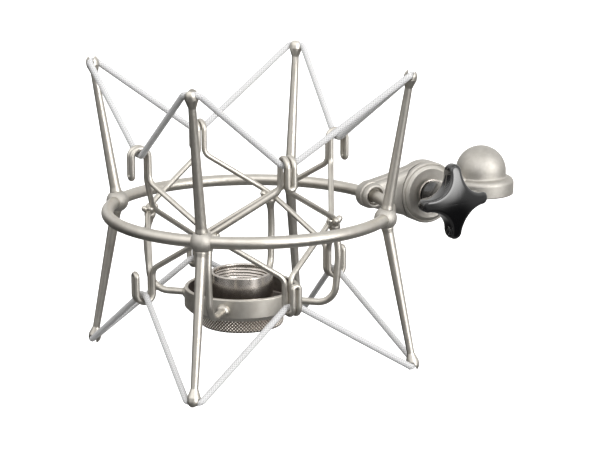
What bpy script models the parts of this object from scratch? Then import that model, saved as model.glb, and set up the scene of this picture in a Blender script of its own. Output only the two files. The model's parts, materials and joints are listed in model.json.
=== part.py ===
"""Elastic spider suspension for a large studio microphone, on a tilting stand coupling.

A round outer frame of ring, ball nodes and forked posts carries two endless elastic bands.
The bands hold a wire cradle, whose base cup has a captive threaded sleeve for the microphone.
A clamped swivel joins the frame to a domed coupling that screws onto a stand.

Units are metres, +Z is up. The origin is the centre of the stand socket's mouth, on the
underside of the coupling, and the ring's centre lies along -X from it.
"""

import math

import bmesh
import bpy
from mathutils import Matrix, Vector

# --- clearances and mesh fineness -------------------------------------------------------
GAP = 0.0003                    # left between neighbouring pieces
WIRE_SIDES = 8
TUBE_SIDES = 12
TURNED_STEPS = 32
BALL_STEPS = 14
RING_STEP = 7                   # degrees of the ring to each of its sections
CUTTER_REACH = 0.020            # long enough to pass right through any piece
SMALL_CHAMFER = 0.0004

# --- layout ----------------------------------------------------------------------------
STAND_TO_SWIVEL = 0.0278
STAND_TO_RING = 0.1120
SWIVEL_HEIGHT = 0.0035
RING_HEIGHT = 0.0051
CRADLE_OFFSET = (-0.0028, 0.0014)       # the cradle hangs this far off the ring's axis
UPPER_HOOK_TURN = -2.4                  # and its upper hooks lean round by these degrees
POSTS = {"a": 135, "b": 225, "c": 315, "d": 45}       # azimuths in degrees
HOOKS = {"ab": 180, "bc": 270, "cd": 0, "da": 90}

# --- outer frame ------------------------------------------------------------------------
RING_RADIUS = 0.0570
RING_TUBE = 0.00245
BALL_RADIUS = 0.0046
UPPER_HEAD = (0.0664, 0.0566)   # radius and height of the middle of a fork head
LOWER_HEAD = (0.0686, 0.0587)
POST_ROOT = 0.00220
POST_TIP = 0.00150
HEAD_RADIUS = 0.00265
HEAD_LENGTH = 0.0075
HEAD_BEYOND_MIDDLE = 0.0035
HEAD_WIDEST = 0.36              # share of the head that lies beyond its widest place
SLOT_WIDTH = 0.0031
SLOT_DEPTH = 0.0040

# --- elastic bands -----------------------------------------------------------------------
BAND_RADIUS = 0.00125
BAND_FORK_CORNER = 0.0030       # half length of the straight stretch in a fork
BAND_HOOK_CORNER = 0.0024
BAND_FORK_BEND = 0.0018
BAND_HOOK_BEND = 0.0030

# --- cradle wires -------------------------------------------------------------------------
WIRE_RADIUS = 0.00115
HOOK_INNER = 0.0400             # radius of the inner legs
HOOK_OUTER = 0.0470             # radius of the outer hairpin
HOOK_HALF_WIDTH = 0.00135
HAIRPIN_BEND = 0.0013
CRADLE_MIDDLE = -0.0019         # height of the wire crossings, from the ring's plane
HOOK_REACH = 0.0309             # from the crossings to the top of a hook's bend
HAIRPIN_END = 0.0192
LEG_BEND = 0.0176
LEG_BEND_RADIUS = 0.0040
CROSSING_INNER = 0.0380
CROSSING_OUTER = 0.0406
WIRE_TRIM = 0.0006              # each wire stops this far before its crossing

# --- cradle arms and base cup ---------------------------------------------------------------
ARM_RADIUS = 0.00145
ARM_FORK_RADIUS = 0.0021
ARM_FORK_LENGTH = 0.0050
ARM_TOP_DROP = 0.0031           # from the crossings down to the arm's top
ARM_BOW = (0.0019, -0.0150)     # outwards from the crossings, and height
ARM_BOW_RADIUS = 0.040
ARM_ELBOW_RADIUS = 0.0080
ARM_HEIGHT = -0.0363            # height of the arm's lower stretch, from the ring's plane
CUP_RADIUS = 0.0234
CUP_WALL = 0.0016
CUP_TOP = -0.0317
CUP_BOTTOM = -0.0410
CUP_FLOOR = 0.0016
CUP_CHAMFER = 0.0016
COLLAR_RADIUS = 0.00280
COLLAR_LENGTH = 0.0022

# --- threaded sleeve --------------------------------------------------------------------------
SLEEVE_RADIUS = 0.0128
SLEEVE_BORE = 0.0114
SLEEVE_TOP = -0.0256
SLEEVE_BOTTOM = -0.0478
THREAD_PITCH = 0.0013
THREAD_DEPTH = 0.0005
THREAD_TURNS = 3
CLIP_GROOVE = 0.0006
CLIP_WIDTH = 0.0025
CLIP_THICKNESS = 0.0008
KNURL_RADIUS = 0.0172
KNURL_HEIGHT = 0.0060
KNURL_RIDGES = 40
KNURL_DEPTH = 0.0003

# --- swivel --------------------------------------------------------------------------------
DISC_RADIUS = 0.0131
DISC_BEVEL = 0.0014
DISC_FACE_RADIUS = 0.0116
NEAR_DISC = 0.0035               # thickness of the coupling's disc
FAR_DISC = 0.0060                # thickness of the neck's disc
FRICTION_RADIUS = 0.0124
FRICTION_THICKNESS = 0.0005
BOLT_RADIUS = 0.0030
BOLT_HEAD_RADIUS = 0.0055
BOLT_HEAD = 0.0024
BRACKET_RADIUS = 0.0057
BRACKET_HALF_LENGTH = 0.0043
NECK_ROOT = (0.0, 0.0039, 0.0055)       # middle, half thickness and half height at the ring
NECK_MIDDLE = (0.0016, 0.0044, 0.0089)
NECK_END = (0.0036, 0.0028, 0.0122)
ARM_ROOT = (0.0, 0.0060, 0.0033)        # the same for the coupling's arm, at the stand's axis
ARM_MIDDLE = (0.0, 0.0042, 0.0080)
ARM_END = (0.0, 0.0026, 0.0122)

# --- star knob --------------------------------------------------------------------------------
WASHER_RADIUS = 0.0062
WASHER_THICKNESS = 0.0010
HUB_RADIUS = 0.0056
HUB_LENGTH = 0.0115
KNOB_REACH = 0.0157
KNOB_LOBE = 0.0026              # radius of a lobe's end
KNOB_VALLEY = 0.0080
KNOB_THICKNESS = 0.0082
KNOB_CROWN = 0.0012
INSERT_RADIUS = 0.0042
INSERT_LENGTH = 0.0120
KNOB_STEPS = 40

# --- stand coupling -----------------------------------------------------------------------------
FLANGE_RADIUS = 0.0142
FLANGE_HEIGHT = 0.0072
FLANGE_ROUNDING = 0.0022
DOME_RADIUS = 0.0108
DOME_CENTRE = 0.0099
SOCKET_RADIUS = 0.0092
SOCKET_DEPTH = 0.0120
SOCKET_STEP = 0.0022            # the socket narrows in steps of this at its blind end
STAND_THREAD_MAJOR = 0.0079375  # half of 5/8 inch
STAND_THREAD_PITCH = 0.00094    # 27 turns to the inch
STAND_THREAD_TURNS = 6
STAND_THREAD_DEPTH = 0.00045
THREAD_LEAD_IN = 0.0008         # plain bore ahead of the first groove

MATERIALS = {
    # name: (colour, metallic, roughness)
    "satin_nickel": ((0.50, 0.47, 0.43, 1), 1.0, 0.42),
    "polished_steel": ((0.60, 0.56, 0.52, 1), 1.0, 0.22),
    "knurled_steel": ((0.35, 0.31, 0.27, 1), 1.0, 0.35),
    "brass": ((0.60, 0.45, 0.20, 1), 1.0, 0.35),
    "white_elastic": ((0.80, 0.80, 0.79, 1), 0.0, 0.80),
    "black_gloss": ((0.012, 0.012, 0.013, 1), 0.0, 0.12),
    "dark_fibre": ((0.03, 0.028, 0.025, 1), 0.0, 0.80),
}


# ------------------------------------------------------------------------------------------
# Meshes
# ------------------------------------------------------------------------------------------
def bridge(mesh, lower, upper):
    """Faces between two rings of points, either of which may be a single pole."""
    count = max(len(lower), len(upper))
    for i in range(count):
        j = (i + 1) % count
        if len(lower) == 1:
            mesh.faces.new((lower[0], upper[j], upper[i]))
        elif len(upper) == 1:
            mesh.faces.new((lower[i], lower[j], upper[0]))
        else:
            mesh.faces.new((lower[i], lower[j], upper[j], upper[i]))


def stack(rings, loop=False):
    """A closed body through rings of coordinates; a ring of one point is a pole."""
    mesh = bmesh.new()
    points = [[mesh.verts.new(p) for p in ring] for ring in rings]
    following = points[1:] + points[:1] if loop else points[1:]
    for lower, upper in zip(points, following):
        bridge(mesh, lower, upper)
    bmesh.ops.recalc_face_normals(mesh, faces=mesh.faces)
    return mesh


def circle(radius, height, steps):
    """Points of a level circle, or its middle where the radius is nothing."""
    if radius == 0:
        return [(0, 0, height)]
    turns = [2 * math.pi * i / steps for i in range(steps)]
    return [(radius * math.cos(t), radius * math.sin(t), height) for t in turns]


def turned(profile, steps=TURNED_STEPS, loop=False):
    """A body turned about Z from (radius, height) points."""
    return stack([circle(r, z, steps) for r, z in profile], loop)


def swept(path, radii, sides, loop=False):
    """A round rod along a path, with flat ends unless it is a loop."""
    count = len(path)
    tangents = []
    for i in range(count):
        before = path[i - 1] if i or loop else path[i]
        after = path[(i + 1) % count] if i < count - 1 or loop else path[i]
        tangents.append((after - before).normalized())
    normal = tangents[0].orthogonal().normalized()
    rings = []
    for point, tangent, radius in zip(path, tangents, radii):
        normal = (normal - tangent * normal.dot(tangent)).normalized()
        side = tangent.cross(normal)
        turns = [2 * math.pi * k / sides for k in range(sides)]
        rings.append([point + radius * (normal * math.cos(t) + side * math.sin(t)) for t in turns])
    if not loop:
        rings = [[path[0]]] + rings + [[path[-1]]]
        return stack(rings)
    carried = (normal - tangents[0] * normal.dot(tangents[0])).normalized()
    return stack(untwisted(rings, path, tangents[0], carried, sides), loop=True)


def untwisted(rings, path, tangent, carried, sides):
    """Rings of a loop, turned a little each so that the last one meets the first."""
    first = (rings[0][0] - path[0]).normalized()
    angle = math.atan2(tangent.dot(first.cross(carried)), first.dot(carried))
    count = len(rings)
    fixed = []
    for i, (ring, centre) in enumerate(zip(rings, path)):
        along = (path[(i + 1) % count] - path[i - 1]).normalized()
        turn = Matrix.Rotation(-angle * i / count, 3, along)
        fixed.append([centre + turn @ (p - centre) for p in ring])
    return fixed


def rounded(corners, loop=False, arc_step=math.radians(24)):
    """Points along straight runs whose corners (point, fillet radius) are arcs."""
    count = len(corners)
    path = []
    for i, (corner, radius) in enumerate(corners):
        if not loop and i in (0, count - 1):
            path.append(corner)
            continue
        back = (corners[i - 1][0] - corner).normalized()
        ahead = (corners[(i + 1) % count][0] - corner).normalized()
        half = back.angle(ahead) / 2
        reach = radius / math.tan(half)
        centre = corner + (back + ahead).normalized() * radius / math.sin(half)
        start = corner + back * reach - centre
        end = corner + ahead * reach - centre
        sweep = start.angle(end)
        steps = max(2, math.ceil(sweep / arc_step))
        for k in range(steps + 1):
            f = k / steps
            path.append(
                centre
                + (start * math.sin((1 - f) * sweep) + end * math.sin(f * sweep)) / math.sin(sweep)
            )
    return path


def loft(sections, steps=24):
    """A body along X through upright ellipses (x, z, middle in Y, half thickness, half height)."""
    turns = [2 * math.pi * i / steps for i in range(steps)]
    rings = [
        [(x, y + half_y * math.cos(t), z + half_z * math.sin(t)) for t in turns]
        for x, z, y, half_y, half_z in sections
    ]
    poles = [[(x, y, z)] for x, z, y, _, _ in (sections[0], sections[-1])]
    return stack(poles[:1] + rings + poles[1:])


def moved(mesh, matrix):
    bmesh.ops.transform(mesh, matrix=matrix, verts=mesh.verts)
    return mesh


def mesh_data(mesh, name):
    data = bpy.data.meshes.new(name)
    mesh.to_mesh(data)
    mesh.free()
    return data


def combined(base, *steps):
    """The base mesh after each (Boolean operation, tool mesh), with the exact solver."""
    body = bpy.data.objects.new("body", mesh_data(base, "body"))
    parts = [body]
    for operation, tool in steps:
        cutter = bpy.data.objects.new("tool", mesh_data(tool, "tool"))
        modifier = body.modifiers.new(operation, "BOOLEAN")
        modifier.operation = operation
        modifier.solver = "EXACT"
        modifier.object = cutter
        parts.append(cutter)
    for part in parts:
        bpy.context.scene.collection.objects.link(part)
    evaluated = body.evaluated_get(bpy.context.evaluated_depsgraph_get())
    result = bmesh.new()
    result.from_mesh(bpy.data.meshes.new_from_object(evaluated))
    for part in parts:
        bpy.data.objects.remove(part)
    return result


# ------------------------------------------------------------------------------------------
# Objects
# ------------------------------------------------------------------------------------------
def material(name):
    found = bpy.data.materials.get(name)
    if found:
        return found
    made = bpy.data.materials.new(name)
    made.use_nodes = True
    shader = made.node_tree.nodes["Principled BSDF"]
    colour, metallic, roughness = MATERIALS[name]
    shader.inputs["Base Color"].default_value = colour
    shader.inputs["Metallic"].default_value = metallic
    shader.inputs["Roughness"].default_value = roughness
    return made


def pivot(name, place):
    """An empty on a joint's axis, to which the joint's moving pieces are parented."""
    empty = bpy.data.objects.new(name, None)
    empty.location = place
    bpy.context.scene.collection.objects.link(empty)
    return empty


def piece(name, data, finish, parent, place, rotation=(0, 0, 0)):
    """An object from a bmesh or from shared mesh data, at a place in the world."""
    if isinstance(data, bmesh.types.BMesh):
        data = mesh_data(data, name)
    data.shade_smooth()
    data.set_sharp_from_angle(angle=math.radians(35))
    data.materials.clear()
    data.materials.append(material(finish))
    made = bpy.data.objects.new(name, data)
    made.parent = parent
    made.location = Vector(place) - parent.location
    made.rotation_euler = rotation
    bpy.context.scene.collection.objects.link(made)
    return made


# ------------------------------------------------------------------------------------------
# Outer frame
# ------------------------------------------------------------------------------------------
def ball_seat(radius):
    """Distance from a ball's middle to its seat, at this radius from the rod's axis."""
    return math.sqrt((BALL_RADIUS + GAP) ** 2 - radius ** 2)


def ring_stretch(start, end, seats):
    """A stretch of the ring's tube between two azimuths; seats says which ends meet a ball."""

    def end_azimuth(offset_radial, offset_up, at, inwards, seated):
        if not seated:
            return at
        own = RING_RADIUS + offset_radial
        reach = (BALL_RADIUS + GAP) ** 2 - offset_up ** 2
        cosine = (own ** 2 + RING_RADIUS ** 2 - reach) / (2 * own * RING_RADIUS)
        return at + inwards * math.acos(cosine)

    def point(azimuth, offset_radial, offset_up):
        own = RING_RADIUS + offset_radial
        return (own * math.cos(azimuth), own * math.sin(azimuth), offset_up)

    turns = [2 * math.pi * k / TUBE_SIDES for k in range(TUBE_SIDES)]
    offsets = [(RING_TUBE * math.cos(t), RING_TUBE * math.sin(t)) for t in turns]
    steps = max(3, round(math.degrees(end - start) / RING_STEP))
    rings = []
    for k in range(steps + 1):
        ring = []
        for radial, up in offsets:
            first = end_azimuth(radial, up, start, 1, seats[0])
            last = end_azimuth(radial, up, end, -1, seats[1])
            ring.append(point(first + (last - first) * k / steps, radial, up))
        rings.append(ring)
    caps = [
        [point(end_azimuth(0, 0, start, 1, seats[0]), 0, 0)],
        [point(end_azimuth(0, 0, end, -1, seats[1]), 0, 0)],
    ]
    return stack([caps[0]] + rings + [caps[1]])


def build_ring(frame, centre):
    quarter = math.pi / 2
    bracket = math.asin((BRACKET_HALF_LENGTH + GAP) / RING_RADIUS)
    full = {"ab": 135, "bc": 225, "da": 45}
    for name, start in full.items():
        first = math.radians(start)
        mesh = ring_stretch(first, first + quarter, (True, True))
        piece("ring_arc_" + name, mesh, "satin_nickel", frame, centre)
    near = ring_stretch(-quarter / 2, -bracket, (True, False))
    piece("ring_arc_c", near, "satin_nickel", frame, centre)
    far = ring_stretch(bracket, quarter / 2, (False, True))
    piece("ring_arc_d", far, "satin_nickel", frame, centre)


def post_axis(head):
    """Tilt of a post from upright and the distance from its ball to its outer end."""
    outward, height = head[0] - RING_RADIUS, head[1]
    return math.atan2(outward, height), math.hypot(outward, height) + HEAD_BEYOND_MIDDLE


def forked_post(head):
    """A tapered post along +Z from its ball's middle, with a slot for the band in its head."""
    end = post_axis(head)[1]
    base = end - HEAD_LENGTH
    widest = end - HEAD_WIDEST * HEAD_LENGTH
    profile = [
        (0, ball_seat(0)),
        (POST_ROOT * 0.6, ball_seat(POST_ROOT * 0.6)),
        (POST_ROOT, ball_seat(POST_ROOT)),
        (POST_TIP, base),
        (POST_TIP * 1.35, base + 0.12 * HEAD_LENGTH),
        (HEAD_RADIUS * 0.93, widest - 0.14 * HEAD_LENGTH),
        (HEAD_RADIUS, widest),
    ]
    for degrees in (30, 60, 80):
        turn = math.radians(degrees)
        profile.append((HEAD_RADIUS * math.cos(turn), widest + (end - widest) * math.sin(turn)))
    profile.append((0, end))
    slot = bmesh.new()
    bmesh.ops.create_cube(slot, size=1)
    size = Matrix.Diagonal((SLOT_WIDTH, CUTTER_REACH, 2 * SLOT_DEPTH, 1))
    moved(slot, Matrix.Translation((0, 0, end)) @ size)
    return combined(turned(profile, TUBE_SIDES), ("DIFFERENCE", slot))


def ball():
    mesh = bmesh.new()
    bmesh.ops.create_uvsphere(
        mesh, u_segments=BALL_STEPS, v_segments=BALL_STEPS // 2, radius=BALL_RADIUS
    )
    return mesh


def build_posts(frame, centre):
    upper = mesh_data(forked_post(UPPER_HEAD), "upper_post")
    lower = mesh_data(forked_post(LOWER_HEAD), "lower_post")
    node = mesh_data(ball(), "ball")
    for name, degrees in POSTS.items():
        turn = math.radians(degrees)
        place = centre + RING_RADIUS * Vector((math.cos(turn), math.sin(turn), 0))
        piece("ball_" + name, node, "satin_nickel", frame, place)
        up = (0, post_axis(UPPER_HEAD)[0], turn)
        piece("upper_post_" + name, upper, "satin_nickel", frame, place, up)
        down = (0, math.pi - post_axis(LOWER_HEAD)[0], turn)
        piece("lower_post_" + name, lower, "satin_nickel", frame, place, down)


# ------------------------------------------------------------------------------------------
# Bands and cradle
# ------------------------------------------------------------------------------------------
def polar(radius, degrees, across, height):
    """A point at a radius and azimuth, moved across the radius and up."""
    turn = math.radians(degrees)
    return Vector(
        (
            radius * math.cos(turn) - across * math.sin(turn),
            radius * math.sin(turn) + across * math.cos(turn),
            height,
        )
    )


def hook_turn(side):
    """Degrees that the hooks of a side stand off their even places round the cradle."""
    return UPPER_HOOK_TURN if side > 0 else 0


def band(head, side):
    """An endless band, from fork to hook all round; side is 1 above the ring and -1 below."""
    tilt, end = post_axis(head)
    seat = end - SLOT_DEPTH + GAP + BAND_RADIUS
    fork_radius = RING_RADIUS + seat * math.sin(tilt)
    fork_height = side * seat * math.cos(tilt)
    bend = CRADLE_MIDDLE + side * HOOK_REACH
    hook_height = bend - side * (WIRE_RADIUS + GAP + BAND_RADIUS)
    hook_radius = (HOOK_INNER + HOOK_OUTER) / 2
    offset = Vector((*CRADLE_OFFSET, 0))
    corners = []
    for step in range(4):
        fork, hook = 45 + 90 * step, 90 + 90 * step + hook_turn(side)
        for across in (-BAND_FORK_CORNER, BAND_FORK_CORNER):
            corners.append((polar(fork_radius, fork, across, fork_height), BAND_FORK_BEND))
        for across in (-BAND_HOOK_CORNER, BAND_HOOK_CORNER):
            corner = polar(hook_radius, hook, across, hook_height) + offset
            corners.append((corner, BAND_HOOK_BEND))
    path = rounded(corners, loop=True)
    return swept(path, [BAND_RADIUS] * len(path), WIRE_SIDES, loop=True)


def hook_wire(side, crossing):
    """A wire from one crossing over a double hook to the next, hooked at azimuth 0."""
    bend = CRADLE_MIDDLE + side * HOOK_REACH
    leg = CRADLE_MIDDLE + side * LEG_BEND
    hairpin = CRADLE_MIDDLE + side * HAIRPIN_END
    over = (HOOK_OUTER - HOOK_INNER) / 2 * 0.98
    turn = hook_turn(side)
    half = []
    for across in (-HOOK_HALF_WIDTH, HOOK_HALF_WIDTH):
        half.append(
            [
                (polar(crossing, math.copysign(45, across), 0, CRADLE_MIDDLE), 0),
                (polar(HOOK_INNER, turn, across, leg), LEG_BEND_RADIUS),
                (polar(HOOK_INNER, turn, across, bend), over),
                (polar(HOOK_OUTER, turn, across, bend), over),
                (polar(HOOK_OUTER, turn, across, hairpin), HAIRPIN_BEND),
            ]
        )
    path = rounded(half[0] + half[1][::-1], arc_step=math.radians(30))
    path[0] += (path[1] - path[0]).normalized() * WIRE_TRIM
    path[-1] += (path[-2] - path[-1]).normalized() * WIRE_TRIM
    return swept(path, [WIRE_RADIUS] * len(path), WIRE_SIDES)


def build_wires(cradle, centre):
    """Eight hooked wires; those of one loop cross inside those of the other."""
    for side, level in ((1, "upper"), (-1, "lower")):
        inner = mesh_data(hook_wire(side, CROSSING_INNER), level + "_inner_wire")
        outer = mesh_data(hook_wire(side, CROSSING_OUTER), level + "_outer_wire")
        for name, degrees in HOOKS.items():
            crosses_inside = (degrees % 180 == 0) == (side == 1)
            data = inner if crosses_inside else outer
            turn = (0, 0, math.radians(degrees))
            piece(f"{level}_hook_{name}", data, "satin_nickel", cradle, centre, turn)


def cradle_arm():
    """A rod down from a crossing and inwards to the cup, with a forked top, at azimuth 0."""
    middle = (CROSSING_INNER + CROSSING_OUTER) / 2
    path = rounded(
        [
            (Vector((middle, 0, CRADLE_MIDDLE - ARM_TOP_DROP)), 0),
            (Vector((middle + ARM_BOW[0], 0, ARM_BOW[1])), ARM_BOW_RADIUS),
            (Vector((middle, 0, ARM_HEIGHT)), ARM_ELBOW_RADIUS),
            (Vector((CUP_RADIUS + GAP, 0, ARM_HEIGHT)), 0),
        ],
        arc_step=math.radians(14),
    )
    top = path[0]
    path[1:1] = [top.lerp(path[1], f) for f in (0.3, 0.62)]
    radii = []
    for point in path:
        closeness = max(0.0, 1 - (point - top).length / ARM_FORK_LENGTH)
        radii.append(ARM_RADIUS + (ARM_FORK_RADIUS - ARM_RADIUS) * min(1.0, 1.5 * closeness))
    return swept(path, radii, 10)


def arm_collar():
    """A round collar on an arm's inner end, against the cup, along +X."""
    bore = ARM_RADIUS + GAP
    start = CUP_RADIUS + GAP
    profile = [
        (bore, start),
        (COLLAR_RADIUS, start),
        (COLLAR_RADIUS, start + COLLAR_LENGTH - SMALL_CHAMFER),
        (COLLAR_RADIUS - SMALL_CHAMFER, start + COLLAR_LENGTH),
        (bore, start + COLLAR_LENGTH),
    ]
    return moved(turned(profile, 16, loop=True), Matrix.Rotation(math.pi / 2, 4, "Y"))


def build_arms(cradle, centre):
    arm = mesh_data(cradle_arm(), "arm")
    collar = mesh_data(arm_collar(), "collar")
    collar_place = centre + Vector((0, 0, ARM_HEIGHT))
    for name, degrees in POSTS.items():
        turn = (0, 0, math.radians(degrees))
        piece("cradle_arm_" + name, arm, "satin_nickel", cradle, centre, turn)
        piece("arm_collar_" + name, collar, "satin_nickel", cradle, collar_place, turn)


def build_cup(cradle, centre):
    hole = SLEEVE_RADIUS + GAP
    floor = CUP_BOTTOM + CUP_FLOOR
    inside = CUP_RADIUS - CUP_WALL
    cup = turned(
        [
            (hole, CUP_BOTTOM),
            (CUP_RADIUS - CUP_CHAMFER, CUP_BOTTOM),
            (CUP_RADIUS, CUP_BOTTOM + CUP_CHAMFER),
            (CUP_RADIUS, CUP_TOP - SMALL_CHAMFER),
            (CUP_RADIUS - SMALL_CHAMFER, CUP_TOP),
            (inside, CUP_TOP),
            (inside, floor),
            (hole, floor),
        ],
        40,
        loop=True,
    )
    piece("base_cup", cup, "satin_nickel", cradle, centre)


# ------------------------------------------------------------------------------------------
# Threaded sleeve
# ------------------------------------------------------------------------------------------
def thread_profile(crest, top, pitch, depth, turns):
    """Grooves of an inside thread, downwards from the top of a bore."""
    points = []
    for k in range(turns):
        start = top - k * pitch
        points += [(crest, start), (crest + depth, start - pitch / 2)]
    points.append((crest, top - turns * pitch))
    return points


def build_sleeve(nut, centre):
    groove_top = CUP_BOTTOM + CUP_FLOOR + CLIP_THICKNESS + 3 * GAP
    groove_bottom = CUP_BOTTOM + CUP_FLOOR
    profile = [
        (SLEEVE_BORE, SLEEVE_BOTTOM),
        (SLEEVE_RADIUS, SLEEVE_BOTTOM),
        (SLEEVE_RADIUS, groove_bottom),
        (SLEEVE_RADIUS - CLIP_GROOVE, groove_bottom),
        (SLEEVE_RADIUS - CLIP_GROOVE, groove_top),
        (SLEEVE_RADIUS, groove_top),
        (SLEEVE_RADIUS, SLEEVE_TOP - SMALL_CHAMFER),
        (SLEEVE_RADIUS - SMALL_CHAMFER, SLEEVE_TOP),
        (SLEEVE_BORE, SLEEVE_TOP),
    ]
    threads = thread_profile(
        SLEEVE_BORE, SLEEVE_TOP - THREAD_LEAD_IN, THREAD_PITCH, THREAD_DEPTH, THREAD_TURNS
    )
    sleeve = turned(profile + threads, TURNED_STEPS, loop=True)
    piece("threaded_sleeve", sleeve, "polished_steel", nut, centre)

    clip_inner = SLEEVE_RADIUS - CLIP_GROOVE + GAP
    clip_low = groove_bottom + GAP
    clip = turned(
        [
            (clip_inner, clip_low),
            (clip_inner + CLIP_WIDTH, clip_low),
            (clip_inner + CLIP_WIDTH, clip_low + CLIP_THICKNESS),
            (clip_inner, clip_low + CLIP_THICKNESS),
        ],
        TURNED_STEPS,
        loop=True,
    )
    piece("retaining_ring", clip, "polished_steel", nut, centre)


def build_knurled_ring(nut, centre):
    top = CUP_BOTTOM - GAP
    bottom = top - KNURL_HEIGHT
    bore = SLEEVE_RADIUS + GAP
    steps = 2 * KNURL_RIDGES

    def ridged(radius, height, depth):
        turns = [2 * math.pi * i / steps for i in range(steps)]
        radii = [radius - depth * (i % 2) for i in range(steps)]
        return [(r * math.cos(t), r * math.sin(t), height) for r, t in zip(radii, turns)]

    rings = [
        ridged(bore, bottom, 0),
        ridged(KNURL_RADIUS - SMALL_CHAMFER, bottom, 0),
        ridged(KNURL_RADIUS, bottom + SMALL_CHAMFER, KNURL_DEPTH),
        ridged(KNURL_RADIUS, top - SMALL_CHAMFER, KNURL_DEPTH),
        ridged(KNURL_RADIUS - SMALL_CHAMFER, top, 0),
        ridged(bore, top, 0),
    ]
    piece("knurled_ring", stack(rings, loop=True), "knurled_steel", nut, centre)


# ------------------------------------------------------------------------------------------
# Swivel
# ------------------------------------------------------------------------------------------
def facing(side):
    """Turns a body's +Z along Y, to the side given."""
    return Matrix.Rotation(-side * math.pi / 2, 4, "X")


def clamp_disc(side, thickness):
    """A disc of the swivel about its own axis, with a bevelled rim and a dished face."""
    start = FRICTION_THICKNESS / 2 + GAP
    hub = BOLT_HEAD_RADIUS + SMALL_CHAMFER
    profile = [
        (0, start),
        (DISC_RADIUS, start),
        (DISC_RADIUS, start + thickness - DISC_BEVEL),
        (DISC_RADIUS - SMALL_CHAMFER, start + thickness - DISC_BEVEL + SMALL_CHAMFER),
        (DISC_FACE_RADIUS, start + thickness - SMALL_CHAMFER),
        (hub, start + thickness),
        (0, start + thickness),
    ]
    return moved(turned(profile), facing(side))


def rod(radius, start, end, side, steps=20):
    """A plain rod about the swivel's axis, for cutting and for joining."""
    profile = [(0, start), (radius, start), (radius, end), (0, end)]
    return moved(turned(profile, steps), facing(side))


def build_neck(frame, swivel, ring_centre):
    """The bracket on the ring, the neck and its disc, in one casting."""
    to_ring = ring_centre - swivel
    collar = turned(
        [
            (0, -BRACKET_HALF_LENGTH),
            (BRACKET_RADIUS * 0.80, -BRACKET_HALF_LENGTH),
            (BRACKET_RADIUS, -BRACKET_HALF_LENGTH * 0.72),
            (BRACKET_RADIUS, BRACKET_HALF_LENGTH * 0.72),
            (BRACKET_RADIUS * 0.80, BRACKET_HALF_LENGTH),
            (0, BRACKET_HALF_LENGTH),
        ],
        20,
    )
    to_bracket = to_ring + Vector((RING_RADIUS, 0, 0))
    moved(collar, Matrix.Translation(to_bracket) @ facing(1))
    neck = loft(
        [
            (to_bracket.x, to_bracket.z, *NECK_ROOT),
            (to_bracket.x * 0.5, to_bracket.z * 0.5, *NECK_MIDDLE),
            (0, 0, *NECK_END),
        ]
    )
    near_side = FRICTION_THICKNESS / 2 + 2 * GAP
    clearance = rod(DISC_RADIUS + GAP, -CUTTER_REACH, near_side, 1, TURNED_STEPS)
    casting = combined(
        neck,
        ("DIFFERENCE", clearance),
        ("UNION", clamp_disc(1, FAR_DISC)),
        ("UNION", collar),
        ("DIFFERENCE", rod(BOLT_RADIUS + GAP, -CUTTER_REACH, CUTTER_REACH, 1)),
    )
    piece("swivel_neck", casting, "satin_nickel", frame, swivel)


def build_bolt(frame, swivel):
    """A bolt held in the neck; its thread passes through the coupling into the knob."""
    seat = FRICTION_THICKNESS / 2 + GAP
    head_start = seat + FAR_DISC + GAP
    tip = -(seat + NEAR_DISC + WASHER_THICKNESS + 3 * GAP + INSERT_LENGTH - 0.001)
    profile = [
        (0, tip),
        (BOLT_RADIUS - SMALL_CHAMFER, tip),
        (BOLT_RADIUS, tip + SMALL_CHAMFER),
        (BOLT_RADIUS, head_start),
        (BOLT_HEAD_RADIUS, head_start),
        (BOLT_HEAD_RADIUS, head_start + BOLT_HEAD * 0.5),
        (BOLT_HEAD_RADIUS * 0.8, head_start + BOLT_HEAD * 0.9),
        (0, head_start + BOLT_HEAD),
    ]
    bolt = moved(turned(profile, 20), facing(1))
    piece("pivot_bolt", bolt, "polished_steel", frame, swivel)


def build_friction_disc(root, swivel):
    half = FRICTION_THICKNESS / 2
    hole = BOLT_RADIUS + GAP
    outline = [
        (hole, -half),
        (FRICTION_RADIUS, -half),
        (FRICTION_RADIUS, half),
        (hole, half),
    ]
    disc = moved(turned(outline, TURNED_STEPS, loop=True), facing(1))
    piece("friction_disc", disc, "dark_fibre", root, swivel)


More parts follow.
